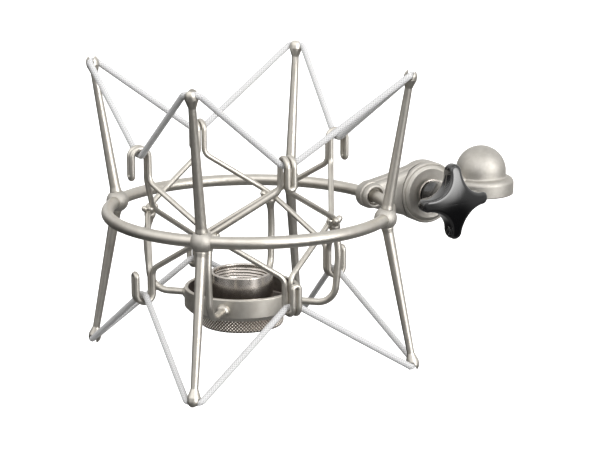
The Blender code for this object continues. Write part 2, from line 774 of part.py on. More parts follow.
# ------------------------------------------------------------------------------------------
# Star knob
# ------------------------------------------------------------------------------------------
def star_outline():
    """Four round lobes joined by hollow arcs, as points of (x, y), starting along a lobe."""
    lobe_centre = KNOB_REACH - KNOB_LOBE
    slope = 2 * (lobe_centre * math.cos(math.pi / 4) - (KNOB_VALLEY - KNOB_LOBE))
    hollow_centre = (lobe_centre ** 2 - (KNOB_VALLEY - KNOB_LOBE) ** 2) / slope
    hollow = hollow_centre - KNOB_VALLEY
    apart_x = hollow_centre * math.cos(math.pi / 4) - lobe_centre
    apart_y = hollow_centre * math.sin(math.pi / 4)
    tangent = math.atan2(apart_y, apart_x)
    per_quarter = KNOB_STEPS // 4
    round_steps = per_quarter // 5
    hollow_steps = per_quarter - 2 * round_steps
    points = []
    for quarter in range(4):
        base = quarter * math.pi / 2
        local = []
        for k in range(round_steps):
            turn = tangent * k / round_steps
            local.append((lobe_centre + KNOB_LOBE * math.cos(turn), KNOB_LOBE * math.sin(turn)))
        middle = (hollow_centre * math.cos(math.pi / 4), hollow_centre * math.sin(math.pi / 4))
        first = math.pi + tangent
        last = 1.5 * math.pi - tangent
        for k in range(hollow_steps + 1):
            turn = first + (last - first) * k / hollow_steps
            local.append((middle[0] + hollow * math.cos(turn), middle[1] + hollow * math.sin(turn)))
        for k in range(1, round_steps):
            turn = tangent * (1 - k / round_steps)
            local.append((KNOB_LOBE * math.sin(turn), lobe_centre + KNOB_LOBE * math.cos(turn)))
        for x, y in local:
            points.append(
                (x * math.cos(base) - y * math.sin(base), x * math.sin(base) + y * math.cos(base))
            )
    return points


def build_knob(frame, knob, swivel):
    """A washer, and a knob with its hub and threaded insert, in front of the coupling's disc."""
    disc_face = FRICTION_THICKNESS / 2 + GAP + NEAR_DISC
    washer_start = disc_face + GAP
    hub_start = washer_start + WASHER_THICKNESS + GAP
    hole = BOLT_RADIUS + GAP
    washer = turned(
        [
            (hole, washer_start),
            (WASHER_RADIUS, washer_start),
            (WASHER_RADIUS, washer_start + WASHER_THICKNESS),
            (hole, washer_start + WASHER_THICKNESS),
        ],
        28,
        loop=True,
    )
    piece("knob_washer", moved(washer, facing(-1)), "polished_steel", frame, swivel)

    star = star_outline()

    def lobes(scale, height):
        return [(x * scale, y * scale, height) for x, y in star]

    back = hub_start + HUB_LENGTH
    front = back + KNOB_THICKNESS
    bore = INSERT_RADIUS + GAP
    bore_end = hub_start + INSERT_LENGTH + GAP
    rings = [
        [(0, 0, bore_end)],
        circle(bore, bore_end, KNOB_STEPS),
        circle(bore, hub_start, KNOB_STEPS),
        circle(HUB_RADIUS, hub_start, KNOB_STEPS),
        circle(HUB_RADIUS, back - SMALL_CHAMFER, KNOB_STEPS),
        lobes(0.93, back + 0.0006),
        lobes(1.0, back + 0.0022),
        lobes(1.0, front - 0.0020),
        lobes(0.95, front - 0.0005),
        lobes(0.80, front),
        lobes(0.40, front + KNOB_CROWN * 0.8),
        [(0, 0, front + KNOB_CROWN)],
    ]
    body = moved(stack(rings), facing(-1))
    piece("star_knob", body, "black_gloss", knob, swivel)

    insert = turned(
        [
            (hole, hub_start),
            (INSERT_RADIUS, hub_start),
            (INSERT_RADIUS, hub_start + INSERT_LENGTH),
            (hole, hub_start + INSERT_LENGTH),
        ],
        20,
        loop=True,
    )
    piece("knob_insert", moved(insert, facing(-1)), "brass", knob, swivel)


# ------------------------------------------------------------------------------------------
# Stand coupling
# ------------------------------------------------------------------------------------------
def dome_body():
    """The flange and dome about the stand's axis."""
    profile = [(0, 0), (FLANGE_RADIUS - SMALL_CHAMFER, 0), (FLANGE_RADIUS, SMALL_CHAMFER)]
    shoulder = FLANGE_HEIGHT - FLANGE_ROUNDING
    for degrees in (0, 30, 60, 90):
        turn = math.radians(degrees)
        profile.append(
            (
                FLANGE_RADIUS - FLANGE_ROUNDING * (1 - math.cos(turn)),
                shoulder + FLANGE_ROUNDING * math.sin(turn),
            )
        )
    profile.append((DOME_RADIUS, FLANGE_HEIGHT))
    for degrees in (0, 18, 36, 54, 72):
        turn = math.radians(degrees)
        profile.append((DOME_RADIUS * math.cos(turn), DOME_CENTRE + DOME_RADIUS * math.sin(turn)))
    profile.append((0, DOME_CENTRE + DOME_RADIUS))
    return turned(profile)


def build_coupling(root, swivel):
    """The domed stand coupling, its arm and its disc, in one casting with an open socket."""
    arm = loft(
        [
            (swivel.x, swivel.z, *ARM_END),
            (swivel.x * 0.62, swivel.z, *ARM_MIDDLE),
            (0, FLANGE_HEIGHT / 2, *ARM_ROOT),
        ]
    )
    near_side = -FRICTION_THICKNESS / 2 - 2 * GAP
    clearance = rod(DISC_RADIUS + GAP, near_side, CUTTER_REACH, 1, TURNED_STEPS)
    moved(clearance, Matrix.Translation(swivel))
    disc = moved(clamp_disc(-1, NEAR_DISC), Matrix.Translation(swivel))
    hole = rod(BOLT_RADIUS + GAP, -CUTTER_REACH, CUTTER_REACH, 1)
    moved(hole, Matrix.Translation(swivel))
    socket = turned(
        [
            (0, -SMALL_CHAMFER),
            (SOCKET_RADIUS, -SMALL_CHAMFER),
            (SOCKET_RADIUS, SOCKET_DEPTH),
            (SOCKET_RADIUS - SOCKET_STEP, SOCKET_DEPTH),
            (SOCKET_RADIUS - 2 * SOCKET_STEP, SOCKET_DEPTH + SOCKET_STEP),
            (0, SOCKET_DEPTH + SOCKET_STEP),
        ]
    )
    casting = combined(
        arm,
        ("DIFFERENCE", clearance),
        ("UNION", disc),
        ("UNION", dome_body()),
        ("DIFFERENCE", hole),
        ("DIFFERENCE", socket),
    )
    piece("stand_casting", casting, "satin_nickel", root, (0, 0, 0))

    outer = SOCKET_RADIUS - GAP
    crest = STAND_THREAD_MAJOR - STAND_THREAD_DEPTH
    top = SOCKET_DEPTH - GAP
    first_groove = top - THREAD_LEAD_IN
    grooves = thread_profile(
        crest, first_groove, STAND_THREAD_PITCH, STAND_THREAD_DEPTH, STAND_THREAD_TURNS
    )
    profile = [(STAND_THREAD_MAJOR, 0), (outer, 0), (outer, top), (crest, top)]
    insert = turned(profile + grooves, 24, loop=True)
    piece("stand_thread_insert", insert, "brass", root, (0, 0, 0))


def main():
    for old in list(bpy.data.objects):
        bpy.data.objects.remove(old)
    swivel = Vector((-STAND_TO_SWIVEL, 0, SWIVEL_HEIGHT))
    centre = Vector((-STAND_TO_RING, 0, RING_HEIGHT))
    root = pivot("coupling_origin", Vector((0, 0, 0)))
    frame = pivot("frame_pivot", swivel)
    knob = pivot("knob_pivot", swivel)
    hanging = centre + Vector((*CRADLE_OFFSET, 0))
    cradle = pivot("cradle_slide", hanging)
    nut = pivot("sleeve_pivot", hanging)

    build_coupling(root, swivel)
    build_friction_disc(root, swivel)
    build_neck(frame, swivel, centre)
    build_bolt(frame, swivel)
    build_ring(frame, centre)
    build_posts(frame, centre)
    build_knob(frame, knob, swivel)
    piece("upper_band", band(UPPER_HEAD, 1), "white_elastic", cradle, centre)
    piece("lower_band", band(LOWER_HEAD, -1), "white_elastic", cradle, centre)
    build_wires(cradle, hanging)
    build_arms(cradle, hanging)
    build_cup(cradle, hanging)
    build_sleeve(nut, hanging)
    build_knurled_ring(nut, hanging)


main()
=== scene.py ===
"""Looks of the spider shock mount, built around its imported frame.

Every shown surface is a fine piece made here: tubes, wires and cords are swept along rounded
paths, turned parts are lathed with rounded edges, and threads and knurls are real relief.
Units are metres, +Z is up, and the origin is the mouth of the stand socket.
"""

import json
import math

import bmesh
import bpy
from mathutils import Matrix, Quaternion, Vector


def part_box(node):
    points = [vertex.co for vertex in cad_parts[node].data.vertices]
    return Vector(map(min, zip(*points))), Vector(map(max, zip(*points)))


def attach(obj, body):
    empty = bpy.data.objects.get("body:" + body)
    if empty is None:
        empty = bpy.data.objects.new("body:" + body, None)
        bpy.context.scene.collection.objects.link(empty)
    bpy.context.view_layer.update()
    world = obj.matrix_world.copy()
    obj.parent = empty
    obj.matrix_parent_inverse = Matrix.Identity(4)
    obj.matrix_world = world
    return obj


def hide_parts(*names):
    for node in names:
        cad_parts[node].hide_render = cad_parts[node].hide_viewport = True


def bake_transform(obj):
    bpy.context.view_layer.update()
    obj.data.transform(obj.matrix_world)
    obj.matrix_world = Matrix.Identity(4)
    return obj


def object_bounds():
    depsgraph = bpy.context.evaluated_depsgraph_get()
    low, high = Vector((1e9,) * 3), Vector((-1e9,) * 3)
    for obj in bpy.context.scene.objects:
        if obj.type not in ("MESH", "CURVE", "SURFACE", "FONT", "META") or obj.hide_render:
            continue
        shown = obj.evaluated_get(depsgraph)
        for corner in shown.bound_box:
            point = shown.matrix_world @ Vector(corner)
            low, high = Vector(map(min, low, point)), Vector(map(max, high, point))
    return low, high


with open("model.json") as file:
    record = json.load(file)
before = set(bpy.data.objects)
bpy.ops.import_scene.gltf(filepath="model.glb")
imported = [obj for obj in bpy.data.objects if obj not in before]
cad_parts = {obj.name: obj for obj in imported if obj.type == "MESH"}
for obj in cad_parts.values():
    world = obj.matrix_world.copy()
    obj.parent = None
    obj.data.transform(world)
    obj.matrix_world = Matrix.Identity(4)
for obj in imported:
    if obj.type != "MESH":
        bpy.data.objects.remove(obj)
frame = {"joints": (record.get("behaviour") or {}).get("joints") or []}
cad_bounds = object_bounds()

# --- places, from the frame ---
joints = {joint["name"]: joint for joint in frame["joints"]}
SWIVEL = Vector(joints["swivel_tilt"]["pos_m"])
RING_LOW, RING_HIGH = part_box("ring_arc_ab")
RING_RADIUS = 0.0570
RING_TUBE = (RING_HIGH.z - RING_LOW.z) / 2
CENTRE = Vector((RING_LOW.x + RING_TUBE + RING_RADIUS, 0, (RING_LOW.z + RING_HIGH.z) / 2))
HANGING = Vector((*joints["sleeve_spin"]["pos_m"][:2], CENTRE.z))  # the cradle's middle
POSTS = {"a": 135, "b": 225, "c": 315, "d": 45}
HOOKS = {"ab": 180, "bc": 270, "cd": 0, "da": 90}

# --- camera ---
CAMERA_AZIMUTH = -116.84
CAMERA_ELEVATION = 12.99
CAMERA_DISTANCE = 0.7961
CAMERA_ROLL = -0.46
CAMERA_LENS = 118.05
RING_IN_VIEW = (-0.0260, 0.0080)  # slopes of the line of sight to the ring's centre

# --- light: the dome's heights and strengths, and patches in it ---
DOME_HEIGHTS = (-0.50, 0.35)
DOME_STRENGTHS = (0.20, 0.95)
DOME_PATCHES = (
    # azimuth, elevation, outer and inner angle, factor on the light
    (-145, -18, 48, 14, 0.45),
    (140, -18, 60, 15, 0.40),
    (117, -14, 42, 20, 0.30),
    (-74, 12, 29, 9, 8.0),
    (-58, -34, 28, 13, 0.06),
    (178, 25, 60, 10, 1.7),
)
SOFT_BOXES = (
    # name, azimuth, elevation, distance, size, watts
    ("key", -140, 52, 0.9, (1.00, 0.80), 1.5),
    ("rim", -85, 51, 0.9, (1.10, 0.05), 0.9),
)

# --- outer frame ---
BALL_RADIUS = 0.0046
UPPER_HEAD = (0.0664, 0.0566)
LOWER_HEAD = (0.0686, 0.0587)
POST_ROOT = 0.00220
POST_TIP = 0.00150
HEAD_RADIUS = 0.00265
HEAD_LENGTH = 0.0075
HEAD_BEYOND_MIDDLE = 0.0035
HEAD_WIDEST = 0.38  # share of the head that lies beyond its widest place
SLOT_WIDTH = 0.0031
SLOT_DEPTH = 0.0040

# --- bands ---
BAND_RADIUS = 0.00125
YARNS = 6  # of each hand around the cord
YARN_PITCH = 1.15  # millimetres along it
GAP = 0.0003  # also left around the sleeve
BAND_FORK_CORNER = 0.0030
BAND_HOOK_CORNER = 0.0024
BAND_FORK_BEND = 0.0018
BAND_HOOK_BEND = 0.0030

# --- cradle ---
WIRE_RADIUS = 0.00115
HOOK_INNER = 0.0400
HOOK_OUTER = 0.0470
HOOK_HALF_WIDTH = 0.00135
HAIRPIN_BEND = 0.0013
UPPER_HOOK_TURN = -2.4
CRADLE_MIDDLE = -0.0019
HOOK_REACH = 0.0309
HAIRPIN_END = 0.0192
LEG_BEND = 0.0176
LEG_BEND_RADIUS = 0.0045
CROSSING_INNER = 0.0380
CROSSING_OUTER = 0.0406
CROSSING_BEND = 0.020
ARM_RADIUS = 0.00145
ARM_HEIGHT = -0.0363
ARM_TOP_DROP = 0.0014  # from the crossings down to the rod's top
ARM_BOW = (0.0019, -0.0150)  # outwards from the crossings, and height
ARM_BOW_RADIUS = 0.040
ARM_ELBOW_RADIUS = 0.0080
ARM_IN_WALL = 0.0008  # how deep the rod's end lies in the cup's wall
KNOT_TOP_DROP = 0.0022
KNOT_FOOT_DROP = 0.0065
KNOT_FLARE = 0.0008  # how much wider the stem is at its top
KNOT_PRONG_RADIUS = 0.00135
KNOT_PRONG_SPREAD = 0.0026
KNOT_BEAD_RADIUS = 0.0024
KNOT_VOXEL = 0.00016
CUP_RADIUS = 0.0234
CUP_WALL = 0.0016
CUP_TOP = -0.0317
CUP_BOTTOM = -0.0410
CUP_FLOOR = 0.0016
CUP_CHAMFER = 0.0016
COLLAR_RADIUS = 0.00280
COLLAR_LENGTH = 0.0022

# --- sleeve ---
SLEEVE_RADIUS = 0.0128
SLEEVE_BORE = 0.0114
SLEEVE_TOP = -0.0256
SLEEVE_BOTTOM = -0.0478
THREAD_PITCH = 0.0013
THREAD_DEPTH = 0.0005
THREAD_TURNS = 3.5
KNURL_RADIUS = 0.0172
KNURL_TOP = -0.0413
KNURL_HEIGHT = 0.0060
KNURL_TURNS = 76  # ridges of each hand around the ring
KNURL_DEPTH = 0.00045
KNURL_LEAN = KNURL_TURNS / KNURL_RADIUS  # 45 degrees

# --- swivel and coupling ---
DISC_RADIUS = 0.0131
DISC_START = 0.00055
NEAR_DISC = 0.0035
FAR_DISC = 0.0060
BRACKET_RADIUS = 0.0057
BRACKET_HALF_LENGTH = 0.0043
FLANGE_RADIUS = 0.0142
FLANGE_HEIGHT = 0.0072
FLANGE_ROUNDING = 0.0022
DOME_RADIUS = 0.0108
DOME_CENTRE = 0.0099
SOCKET_RADIUS = 0.0092
SOCKET_DEPTH = 0.0120
CUTTER_REACH = 0.02  # right through any piece
SOCKET_STEP = 0.0022  # the socket narrows in steps of this at its blind end
STAND_THREAD_PITCH = 0.00094  # 27 turns to the inch
STAND_THREAD_DEPTH = 0.00045
STAND_THREAD_WALL = 0.0014
STAND_THREAD_TURNS = 11.5

# --- clamp and knob ---
BOLT_RADIUS = 0.0030
BOLT_HOLE = 0.0033
BOLT_HEAD_RADIUS = 0.0055
BOLT_HEAD = 0.0024
WASHER_RADIUS = 0.0062
INSERT_RADIUS = 0.0042
FRICTION_RADIUS = 0.0124
FRICTION_HALF = 0.00025
KNOB_REACH = 0.0160
KNOB_LOBE = 0.0026
KNOB_VALLEY = 0.0080
KNOB_TURN = math.radians(1.7)
KNOB_CROWN = 0.0028  # how far the face falls away towards the lobes' tips
KNOB_RIM = 0.0014  # width of the rounded edge around the face
KNOB_HUB_LENGTH = 0.0115
KNOB_HUB_RADIUS = 0.0053
KNOB_HUB_FLARE = 0.0056
KNOB_BORE_RADIUS = 0.0045
KNOB_BORE_DEPTH = 0.0124


# --- Meshes ---
def bridge(mesh, lower, upper):
    """Faces between two rings of points, either of which may be a single pole."""
    count = max(len(lower), len(upper))
    for i in range(count):
        j = (i + 1) % count
        if len(lower) == 1:
            mesh.faces.new((lower[0], upper[j], upper[i]))
        elif len(upper) == 1:
            mesh.faces.new((lower[i], lower[j], upper[0]))
        else:
            mesh.faces.new((lower[i], lower[j], upper[j], upper[i]))


def stack(rings, loop=False):
    """A closed body through rings of coordinates; a ring of one point is a pole."""
    mesh = bmesh.new()
    points = [[mesh.verts.new(p) for p in ring] for ring in rings]
    following = points[1:] + points[:1] if loop else points[1:]
    for lower, upper in zip(points, following):
        bridge(mesh, lower, upper)
    bmesh.ops.recalc_face_normals(mesh, faces=mesh.faces)
    return mesh


def circle_turns(steps):
    return [2 * math.pi * i / steps for i in range(steps)]


def circle(radius, height, steps):
    """Points of a level circle, or its middle where the radius is nothing."""
    if radius < 1e-7:
        return [(0, 0, height)]
    return [(radius * math.cos(t), radius * math.sin(t), height) for t in circle_turns(steps)]


def wavy_circle(radius_at, height, steps):
    """Points of a level ring whose radius is a function of the turn and the height."""
    ring = []
    for turn in circle_turns(steps):
        radius = radius_at(turn, height)
        ring.append((radius * math.cos(turn), radius * math.sin(turn), height))
    return ring


def rounded(corners, loop=False, arc_step=math.radians(9)):
    """Points along straight runs whose corners (point, fillet radius) are arcs."""
    count = len(corners)
    path = []
    for i, (corner, radius) in enumerate(corners):
        if radius == 0 or not loop and i in (0, count - 1):
            path.append(corner)
            continue
        back = (corners[i - 1][0] - corner).normalized()
        ahead = (corners[(i + 1) % count][0] - corner).normalized()
        half = back.angle(ahead) / 2
        reach = radius / math.tan(half)
        centre = corner + (back + ahead).normalized() * radius / math.sin(half)
        start = corner + back * reach - centre
        end = corner + ahead * reach - centre
        sweep = start.angle(end)
        steps = max(2, math.ceil(sweep / arc_step))
        for k in range(steps + 1):
            f = k / steps
            arm = start * math.sin((1 - f) * sweep) + end * math.sin(f * sweep)
            path.append(centre + arm / math.sin(sweep))
    return path


def half_section(profile, loop=False):
    """Points of a turned body's outline from corners (radius, height, fillet)."""
    return rounded([(Vector((r, 0, z)), fillet) for r, z, fillet in profile], loop)


def lathe(profile, steps=96, loop=False):
    """A body turned about Z from corners (radius, height, fillet)."""
    return stack([circle(p.x, p.z, steps) for p in half_section(profile, loop)], loop)


def flat_ring(inner, outer, low, high, inner_edge=0.0001, outer_edge=0.0002, steps=96):
    """A washer about Z, between two radii and two heights, with its edges rounded."""
    outline = [
        (inner, low, inner_edge),
        (outer, low, outer_edge),
        (outer, high, outer_edge),
        (inner, high, inner_edge),
    ]
    return lathe(outline, steps, loop=True)


def swept(path, radius_at, sides, loop=False):
    """A round rod along a path, with flat ends unless it is a loop.

    radius_at gives the radius at a point of the path. The mesh's UV map holds turns around
    the rod and millimetres along it.
    """
    count = len(path)
    tangents = []
    for i in range(count):
        before = path[i - 1] if i or loop else path[i]
        after = path[(i + 1) % count] if i < count - 1 or loop else path[i]
        tangents.append((after - before).normalized())
    normal = tangents[0].orthogonal().normalized()
    first_normal = normal
    normals = []
    for tangent in tangents:
        normal = (normal - tangent * normal.dot(tangent)).normalized()
        normals.append(normal)
    twist = 0
    if loop:
        carried = (normal - tangents[0] * normal.dot(tangents[0])).normalized()
        side = tangents[0].cross(first_normal)
        twist = math.atan2(carried.dot(side), carried.dot(first_normal))
    mesh = bmesh.new()
    uv = mesh.loops.layers.uv.new("cord")
    rings = []
    along = [0.0]
    for i, (point, tangent, normal) in enumerate(zip(path, tangents, normals)):
        if i:
            along.append(along[-1] + (point - path[i - 1]).length * 1000)
        side = tangent.cross(normal)
        radius = radius_at(point)
        ring = []
        for k in range(sides):
            turn = 2 * math.pi * k / sides - twist * i / count
            offset = radius * (normal * math.cos(turn) + side * math.sin(turn))
            ring.append(mesh.verts.new(point + offset))
        rings.append(ring)
    along.append(along[-1] + (path[0] - path[-1]).length * 1000)
    for i in range(count if loop else count - 1):
        lower, upper = rings[i], rings[(i + 1) % count]
        for k in range(sides):
            j = (k + 1) % sides
            face = mesh.faces.new((lower[k], lower[j], upper[j], upper[k]))
            corners = ((k, i), (k + 1, i), (k + 1, i + 1), (k, i + 1))
            for loop_corner, (around, step) in zip(face.loops, corners):
                loop_corner[uv].uv = (around / sides, along[step])
    if not loop:
        mesh.faces.new(rings[0][::-1])
        mesh.faces.new(rings[-1])
    return mesh


def subdivided(path, spacing):
    """The path with points added along its longer runs."""
    dense = [path[0]]
    for start, end in zip(path, path[1:]):
        steps = max(1, math.ceil((end - start).length / spacing))
        dense += [start.lerp(end, k / steps) for k in range(1, steps + 1)]
    return dense


def loft(sections, squareness=0.8, steps=96):
    """A body through upright superelliptic sections (middle, half thickness, half height)."""
    rings = []
    for middle, half_y, half_z in sections:
        ring = []
        for turn in circle_turns(steps):
            across = math.copysign(abs(math.cos(turn)) ** squareness, math.cos(turn))
            up = math.copysign(abs(math.sin(turn)) ** squareness, math.sin(turn))
            ring.append(middle + Vector((0, half_y * across, half_z * up)))
        rings.append(ring)
    return stack([[sections[0][0]]] + rings + [[sections[-1][0]]])


def moved(mesh, matrix):
    bmesh.ops.transform(mesh, matrix=matrix, verts=mesh.verts)
    return mesh


def mesh_data(mesh, name):
    data = bpy.data.meshes.new(name)
    mesh.to_mesh(data)
    mesh.free()
    return data


def added(name, data):
    """A new object of the data, in the scene."""
    made = bpy.data.objects.new(name, data)
    bpy.context.scene.collection.objects.link(made)
    return made


def modified(mesh, *modifiers):
    """The mesh after modifiers, each (type, {setting: value}); a tool mesh becomes an object."""
    body = added("body", mesh_data(mesh, "body"))
    parts = [body]
    for kind, settings in modifiers:
        modifier = body.modifiers.new(kind, kind)
        for setting, value in settings.items():
            if isinstance(value, bmesh.types.BMesh):
                value = added("tool", mesh_data(value, "tool"))
                parts.append(value)
            setattr(modifier, setting, value)
    evaluated = body.evaluated_get(bpy.context.evaluated_depsgraph_get())
    result = bmesh.new()
    result.from_mesh(bpy.data.meshes.new_from_object(evaluated))
    for part in parts:
        bpy.data.objects.remove(part)
    return result


def cut(mesh, tool):
    settings = {"operation": "DIFFERENCE", "solver": "EXACT", "object": tool}
    return modified(mesh, ("BOOLEAN", settings))


def melted(mesh, voxel, smoothing):
    """Overlapping closed bodies fused into one skin with soft inner corners."""
    return modified(
        mesh,
        ("REMESH", {"mode": "VOXEL", "voxel_size": voxel}),
        ("SMOOTH", {"factor": 0.5, "iterations": smoothing}),
    )


# --- Materials ---
class Look:
    """A Principled material with helpers for its procedural detail."""

    def __init__(self, name, colour, metallic, roughness):
        self.material = bpy.data.materials.new(name)
        self.material.use_nodes = True
        self.nodes = self.material.node_tree.nodes
        self.links = self.material.node_tree.links
        self.shader = self.nodes["Principled BSDF"]
        self.shader.inputs["Base Color"].default_value = (*colour, 1)
        self.shader.inputs["Metallic"].default_value = metallic
        self.shader.inputs["Roughness"].default_value = roughness

    def node(self, kind, **settings):
        made = self.nodes.new(kind)
        for name, value in settings.items():
            if name in made.inputs:
                made.inputs[name].default_value = value
            else:
                setattr(made, name, value)
        return made

    def maths(self, operation, *values):
        """A Math node over sockets and numbers."""
        node = self.node("ShaderNodeMath", operation=operation)
        for socket, value in zip(node.inputs, values):
            if isinstance(value, (int, float)):
                socket.default_value = value
            else:
                self.links.new(value, socket)
        return node.outputs[0]

    def noise(self, scale, detail=4.0, stretch=None):
        """Noise in the object's own space, at a scale in patches for each metre."""
        place = self.node("ShaderNodeTexCoord").outputs["Object"]
        if stretch:
            mapping = self.node("ShaderNodeMapping", Scale=stretch)
            self.links.new(place, mapping.inputs["Vector"])
            place = mapping.outputs["Vector"]
        noise = self.node("ShaderNodeTexNoise", Scale=scale, Detail=detail)
        self.links.new(place, noise.inputs["Vector"])
        return noise.outputs["Fac"]

    def ranged(self, value, low, high, start=0.3, end=0.7):
        node = self.node("ShaderNodeMapRange")
        self.links.new(value, node.inputs["Value"])
        node.inputs["From Min"].default_value = start
        node.inputs["From Max"].default_value = end
        node.inputs["To Min"].default_value = low
        node.inputs["To Max"].default_value = high
        return node.outputs["Result"]

    def rough_between(self, value, low, high):
        self.links.new(self.ranged(value, low, high), self.shader.inputs["Roughness"])

    def tint(self, value, low, high, start=0.3, end=0.7):
        """The base colour, from one colour to another as the value rises."""
        mix = self.node("ShaderNodeMix", data_type="RGBA")
        self.links.new(self.ranged(value, 0, 1, start, end), mix.inputs["Factor"])
        colours = [s for s in mix.outputs if s.type == "RGBA"]
        sides = [s for s in mix.inputs if s.type == "RGBA"]
        sides[0].default_value = (*low, 1)
        sides[1].default_value = (*high, 1)
        self.links.new(colours[0], self.shader.inputs["Base Color"])

    def bump(self, value, height, strength=1.0):
        """Relief of a height in metres."""
        bump = self.node("ShaderNodeBump", Strength=strength, Distance=height)
        self.links.new(value, bump.inputs["Height"])
        before = self.shader.inputs["Normal"].links
        if before:
            self.links.new(before[0].from_socket, bump.inputs["Normal"])
        self.links.new(bump.outputs["Normal"], self.shader.inputs["Normal"])


def plated_look(name, colour, roughness, tint, rough, relief):
    """Metal with patches of tint and roughness and a fine relief."""
    look = Look(name, colour, 1.0, roughness)
    look.tint(look.noise(tint[0]), *tint[1:])
    look.rough_between(look.noise(rough[0]), *rough[1:])
    look.bump(look.noise(relief[0], 2.0), relief[1])
    return look.material


def steel_look():
    """Polished steel with fine turning marks."""
    look = Look("polished_steel", (0.60, 0.56, 0.52), 1.0, 0.23)
    look.rough_between(look.noise(700, 3.0, (1, 1, 6)), 0.20, 0.27)
    look.bump(look.noise(600, 2.0, (1, 1, 4)), 0.000001)
    return look.material


def knurl_look():
    """Bare steel, with painted shade darkening the knurl's grooves and lighter ridges."""
    look = Look("knurled_steel", (0.36, 0.32, 0.28), 1.0, 0.34)
    look.rough_between(look.noise(1500), 0.28, 0.42)
    split = look.node("ShaderNodeSeparateXYZ")
    look.links.new(look.node("ShaderNodeTexCoord").outputs["Object"], split.inputs["Vector"])
    turn = look.maths("ARCTAN2", split.outputs["Y"], split.outputs["X"])
    around = look.maths("MULTIPLY", turn, KNURL_TURNS)
    along = look.maths("MULTIPLY", split.outputs["Z"], KNURL_LEAN)
    first = look.maths("COSINE", look.maths("ADD", around, along))
    second = look.maths("COSINE", look.maths("SUBTRACT", around, along))
    groove_shade = look.maths("MAXIMUM", first, second)
    # painted shade: dark in the knurl's grooves and light on its ridges, on top of the mesh's real
    # relief
    look.tint(groove_shade, (0.72, 0.67, 0.61), (0.15, 0.125, 0.105), -0.3, 0.9)
    return look.material


def brass_look():
    look = Look("brass", (0.60, 0.45, 0.20), 1.0, 0.35)
    look.rough_between(look.noise(900, 3.0, (1, 1, 10)), 0.26, 0.40)
    look.bump(look.noise(3000, 2.0), 0.000012)
    return look.material


def elastic_look():
    """White braid over rubber strands: two crossing sets of yarns around the cord."""
    look = Look("white_elastic", (0.80, 0.80, 0.79), 0.0, 0.75)
    place = look.node("ShaderNodeUVMap", uv_map="cord").outputs["UV"]
    split = look.node("ShaderNodeSeparateXYZ")
    look.links.new(place, split.inputs["Vector"])
    along = look.maths("MULTIPLY", split.outputs["Y"], 2 * math.pi / YARN_PITCH)
    yarns = []
    for hand in (-1, 1):
        around = look.maths("MULTIPLY", split.outputs["X"], 2 * math.pi * YARNS * hand)
        yarns.append(look.maths("SINE", look.maths("ADD", around, along)))
    over = look.maths("MAXIMUM", *yarns)
    # painted shade: the hollows between the yarns are tinted darker than their crests, following
    # the bump's pattern
    look.tint(over, (0.40, 0.40, 0.405), (0.60, 0.60, 0.605), -0.5, 0.7)
    look.bump(over, 0.00004)
    look.bump(look.noise(6000, 2.0), 0.00002)
    look.shader.inputs["Sheen Weight"].default_value = 0.15
    return look.material


def knob_look():
    """Gloss black moulding, a little worn."""
    look = Look("black_gloss", (0.004, 0.004, 0.0045), 0.0, 0.14)
    look.rough_between(look.noise(240), 0.08, 0.13)
    look.bump(look.noise(120, 1.0), 0.00002, 0.4)
    look.shader.inputs["Coat Weight"].default_value = 0.9
    look.shader.inputs["Coat Roughness"].default_value = 0.05
    return look.material


def fibre_look():
    look = Look("dark_fibre", (0.03, 0.028, 0.025), 0.0, 0.8)
    look.tint(look.noise(2500), (0.02, 0.019, 0.017), (0.05, 0.046, 0.04))
    look.bump(look.noise(4000), 0.00003)
    return look.material


PLATES = {
    # colour, roughness, and then scale and range of the tint, the roughness and the relief
    "satin_nickel": (
        (0.60, 0.58, 0.54),
        0.46,
        (260, (0.54, 0.51, 0.46), (0.61, 0.585, 0.535)),
        (900, 0.36, 0.46),
        (5200, 0.000018),
    ),
    # the same plate over blasted castings, duller than the rods
    "cast_nickel": (
        (0.58, 0.56, 0.52),
        0.58,
        (260, (0.45, 0.43, 0.395), (0.52, 0.50, 0.465)),
        (900, 0.54, 0.64),
        (3800, 0.000035),
    ),
    # painted shade: a dark plate on the cup's inside, where the cup's own shade falls
    "painted_shade_steel": (
        (0.20, 0.18, 0.16),
        0.45,
        (600, (0.17, 0.15, 0.135), (0.23, 0.21, 0.19)),
        (1400, 0.38, 0.52),
        (3000, 0.00001),
    ),
}
LOOKS = {name: plated_look(name, *settings) for name, settings in PLATES.items()}
LOOKS["polished_steel"] = steel_look()
LOOKS["knurled_steel"] = knurl_look()
LOOKS["brass"] = brass_look()
LOOKS["white_elastic"] = elastic_look()
LOOKS["black_gloss"] = knob_look()
LOOKS["dark_fibre"] = fibre_look()


def piece(name, mesh, finish, body, stands_for, place=None, rotation=None, crease=40):
    """A shown piece that rides on a body and stands for CAD nodes."""
    data = mesh if isinstance(mesh, bpy.types.Mesh) else mesh_data(mesh, name)
    data.shade_smooth()
    data.set_sharp_from_angle(angle=math.radians(crease))
    if not data.materials:
        data.materials.append(LOOKS[finish])
    made = added(name, data)
    if place is not None:
        made.location = place
    if rotation is not None:
        made.rotation_euler = rotation
    if body:
        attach(made, body)
    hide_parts(*stands_for)
    return made


# --- Outer frame ---
def build_ring():
    """The ring, as one tube in place of the solids' five stretches."""
    steps = 240
    path = [RING_RADIUS * Vector((math.cos(t), math.sin(t), 0)) for t in circle_turns(steps)]
    mesh = swept(path, lambda point: RING_TUBE, 32, loop=True)
    arcs = ["ring_arc_ab", "ring_arc_bc", "ring_arc_c", "ring_arc_d", "ring_arc_da"]
    piece("frame_ring", mesh, "satin_nickel", "outer_frame", arcs, CENTRE)


def post_axis(head):
    """Tilt of a post from upright and the distance from its ball to its outer end."""
    outward, height = head[0] - RING_RADIUS, head[1]
    return math.atan2(outward, height), math.hypot(outward, height) + HEAD_BEYOND_MIDDLE


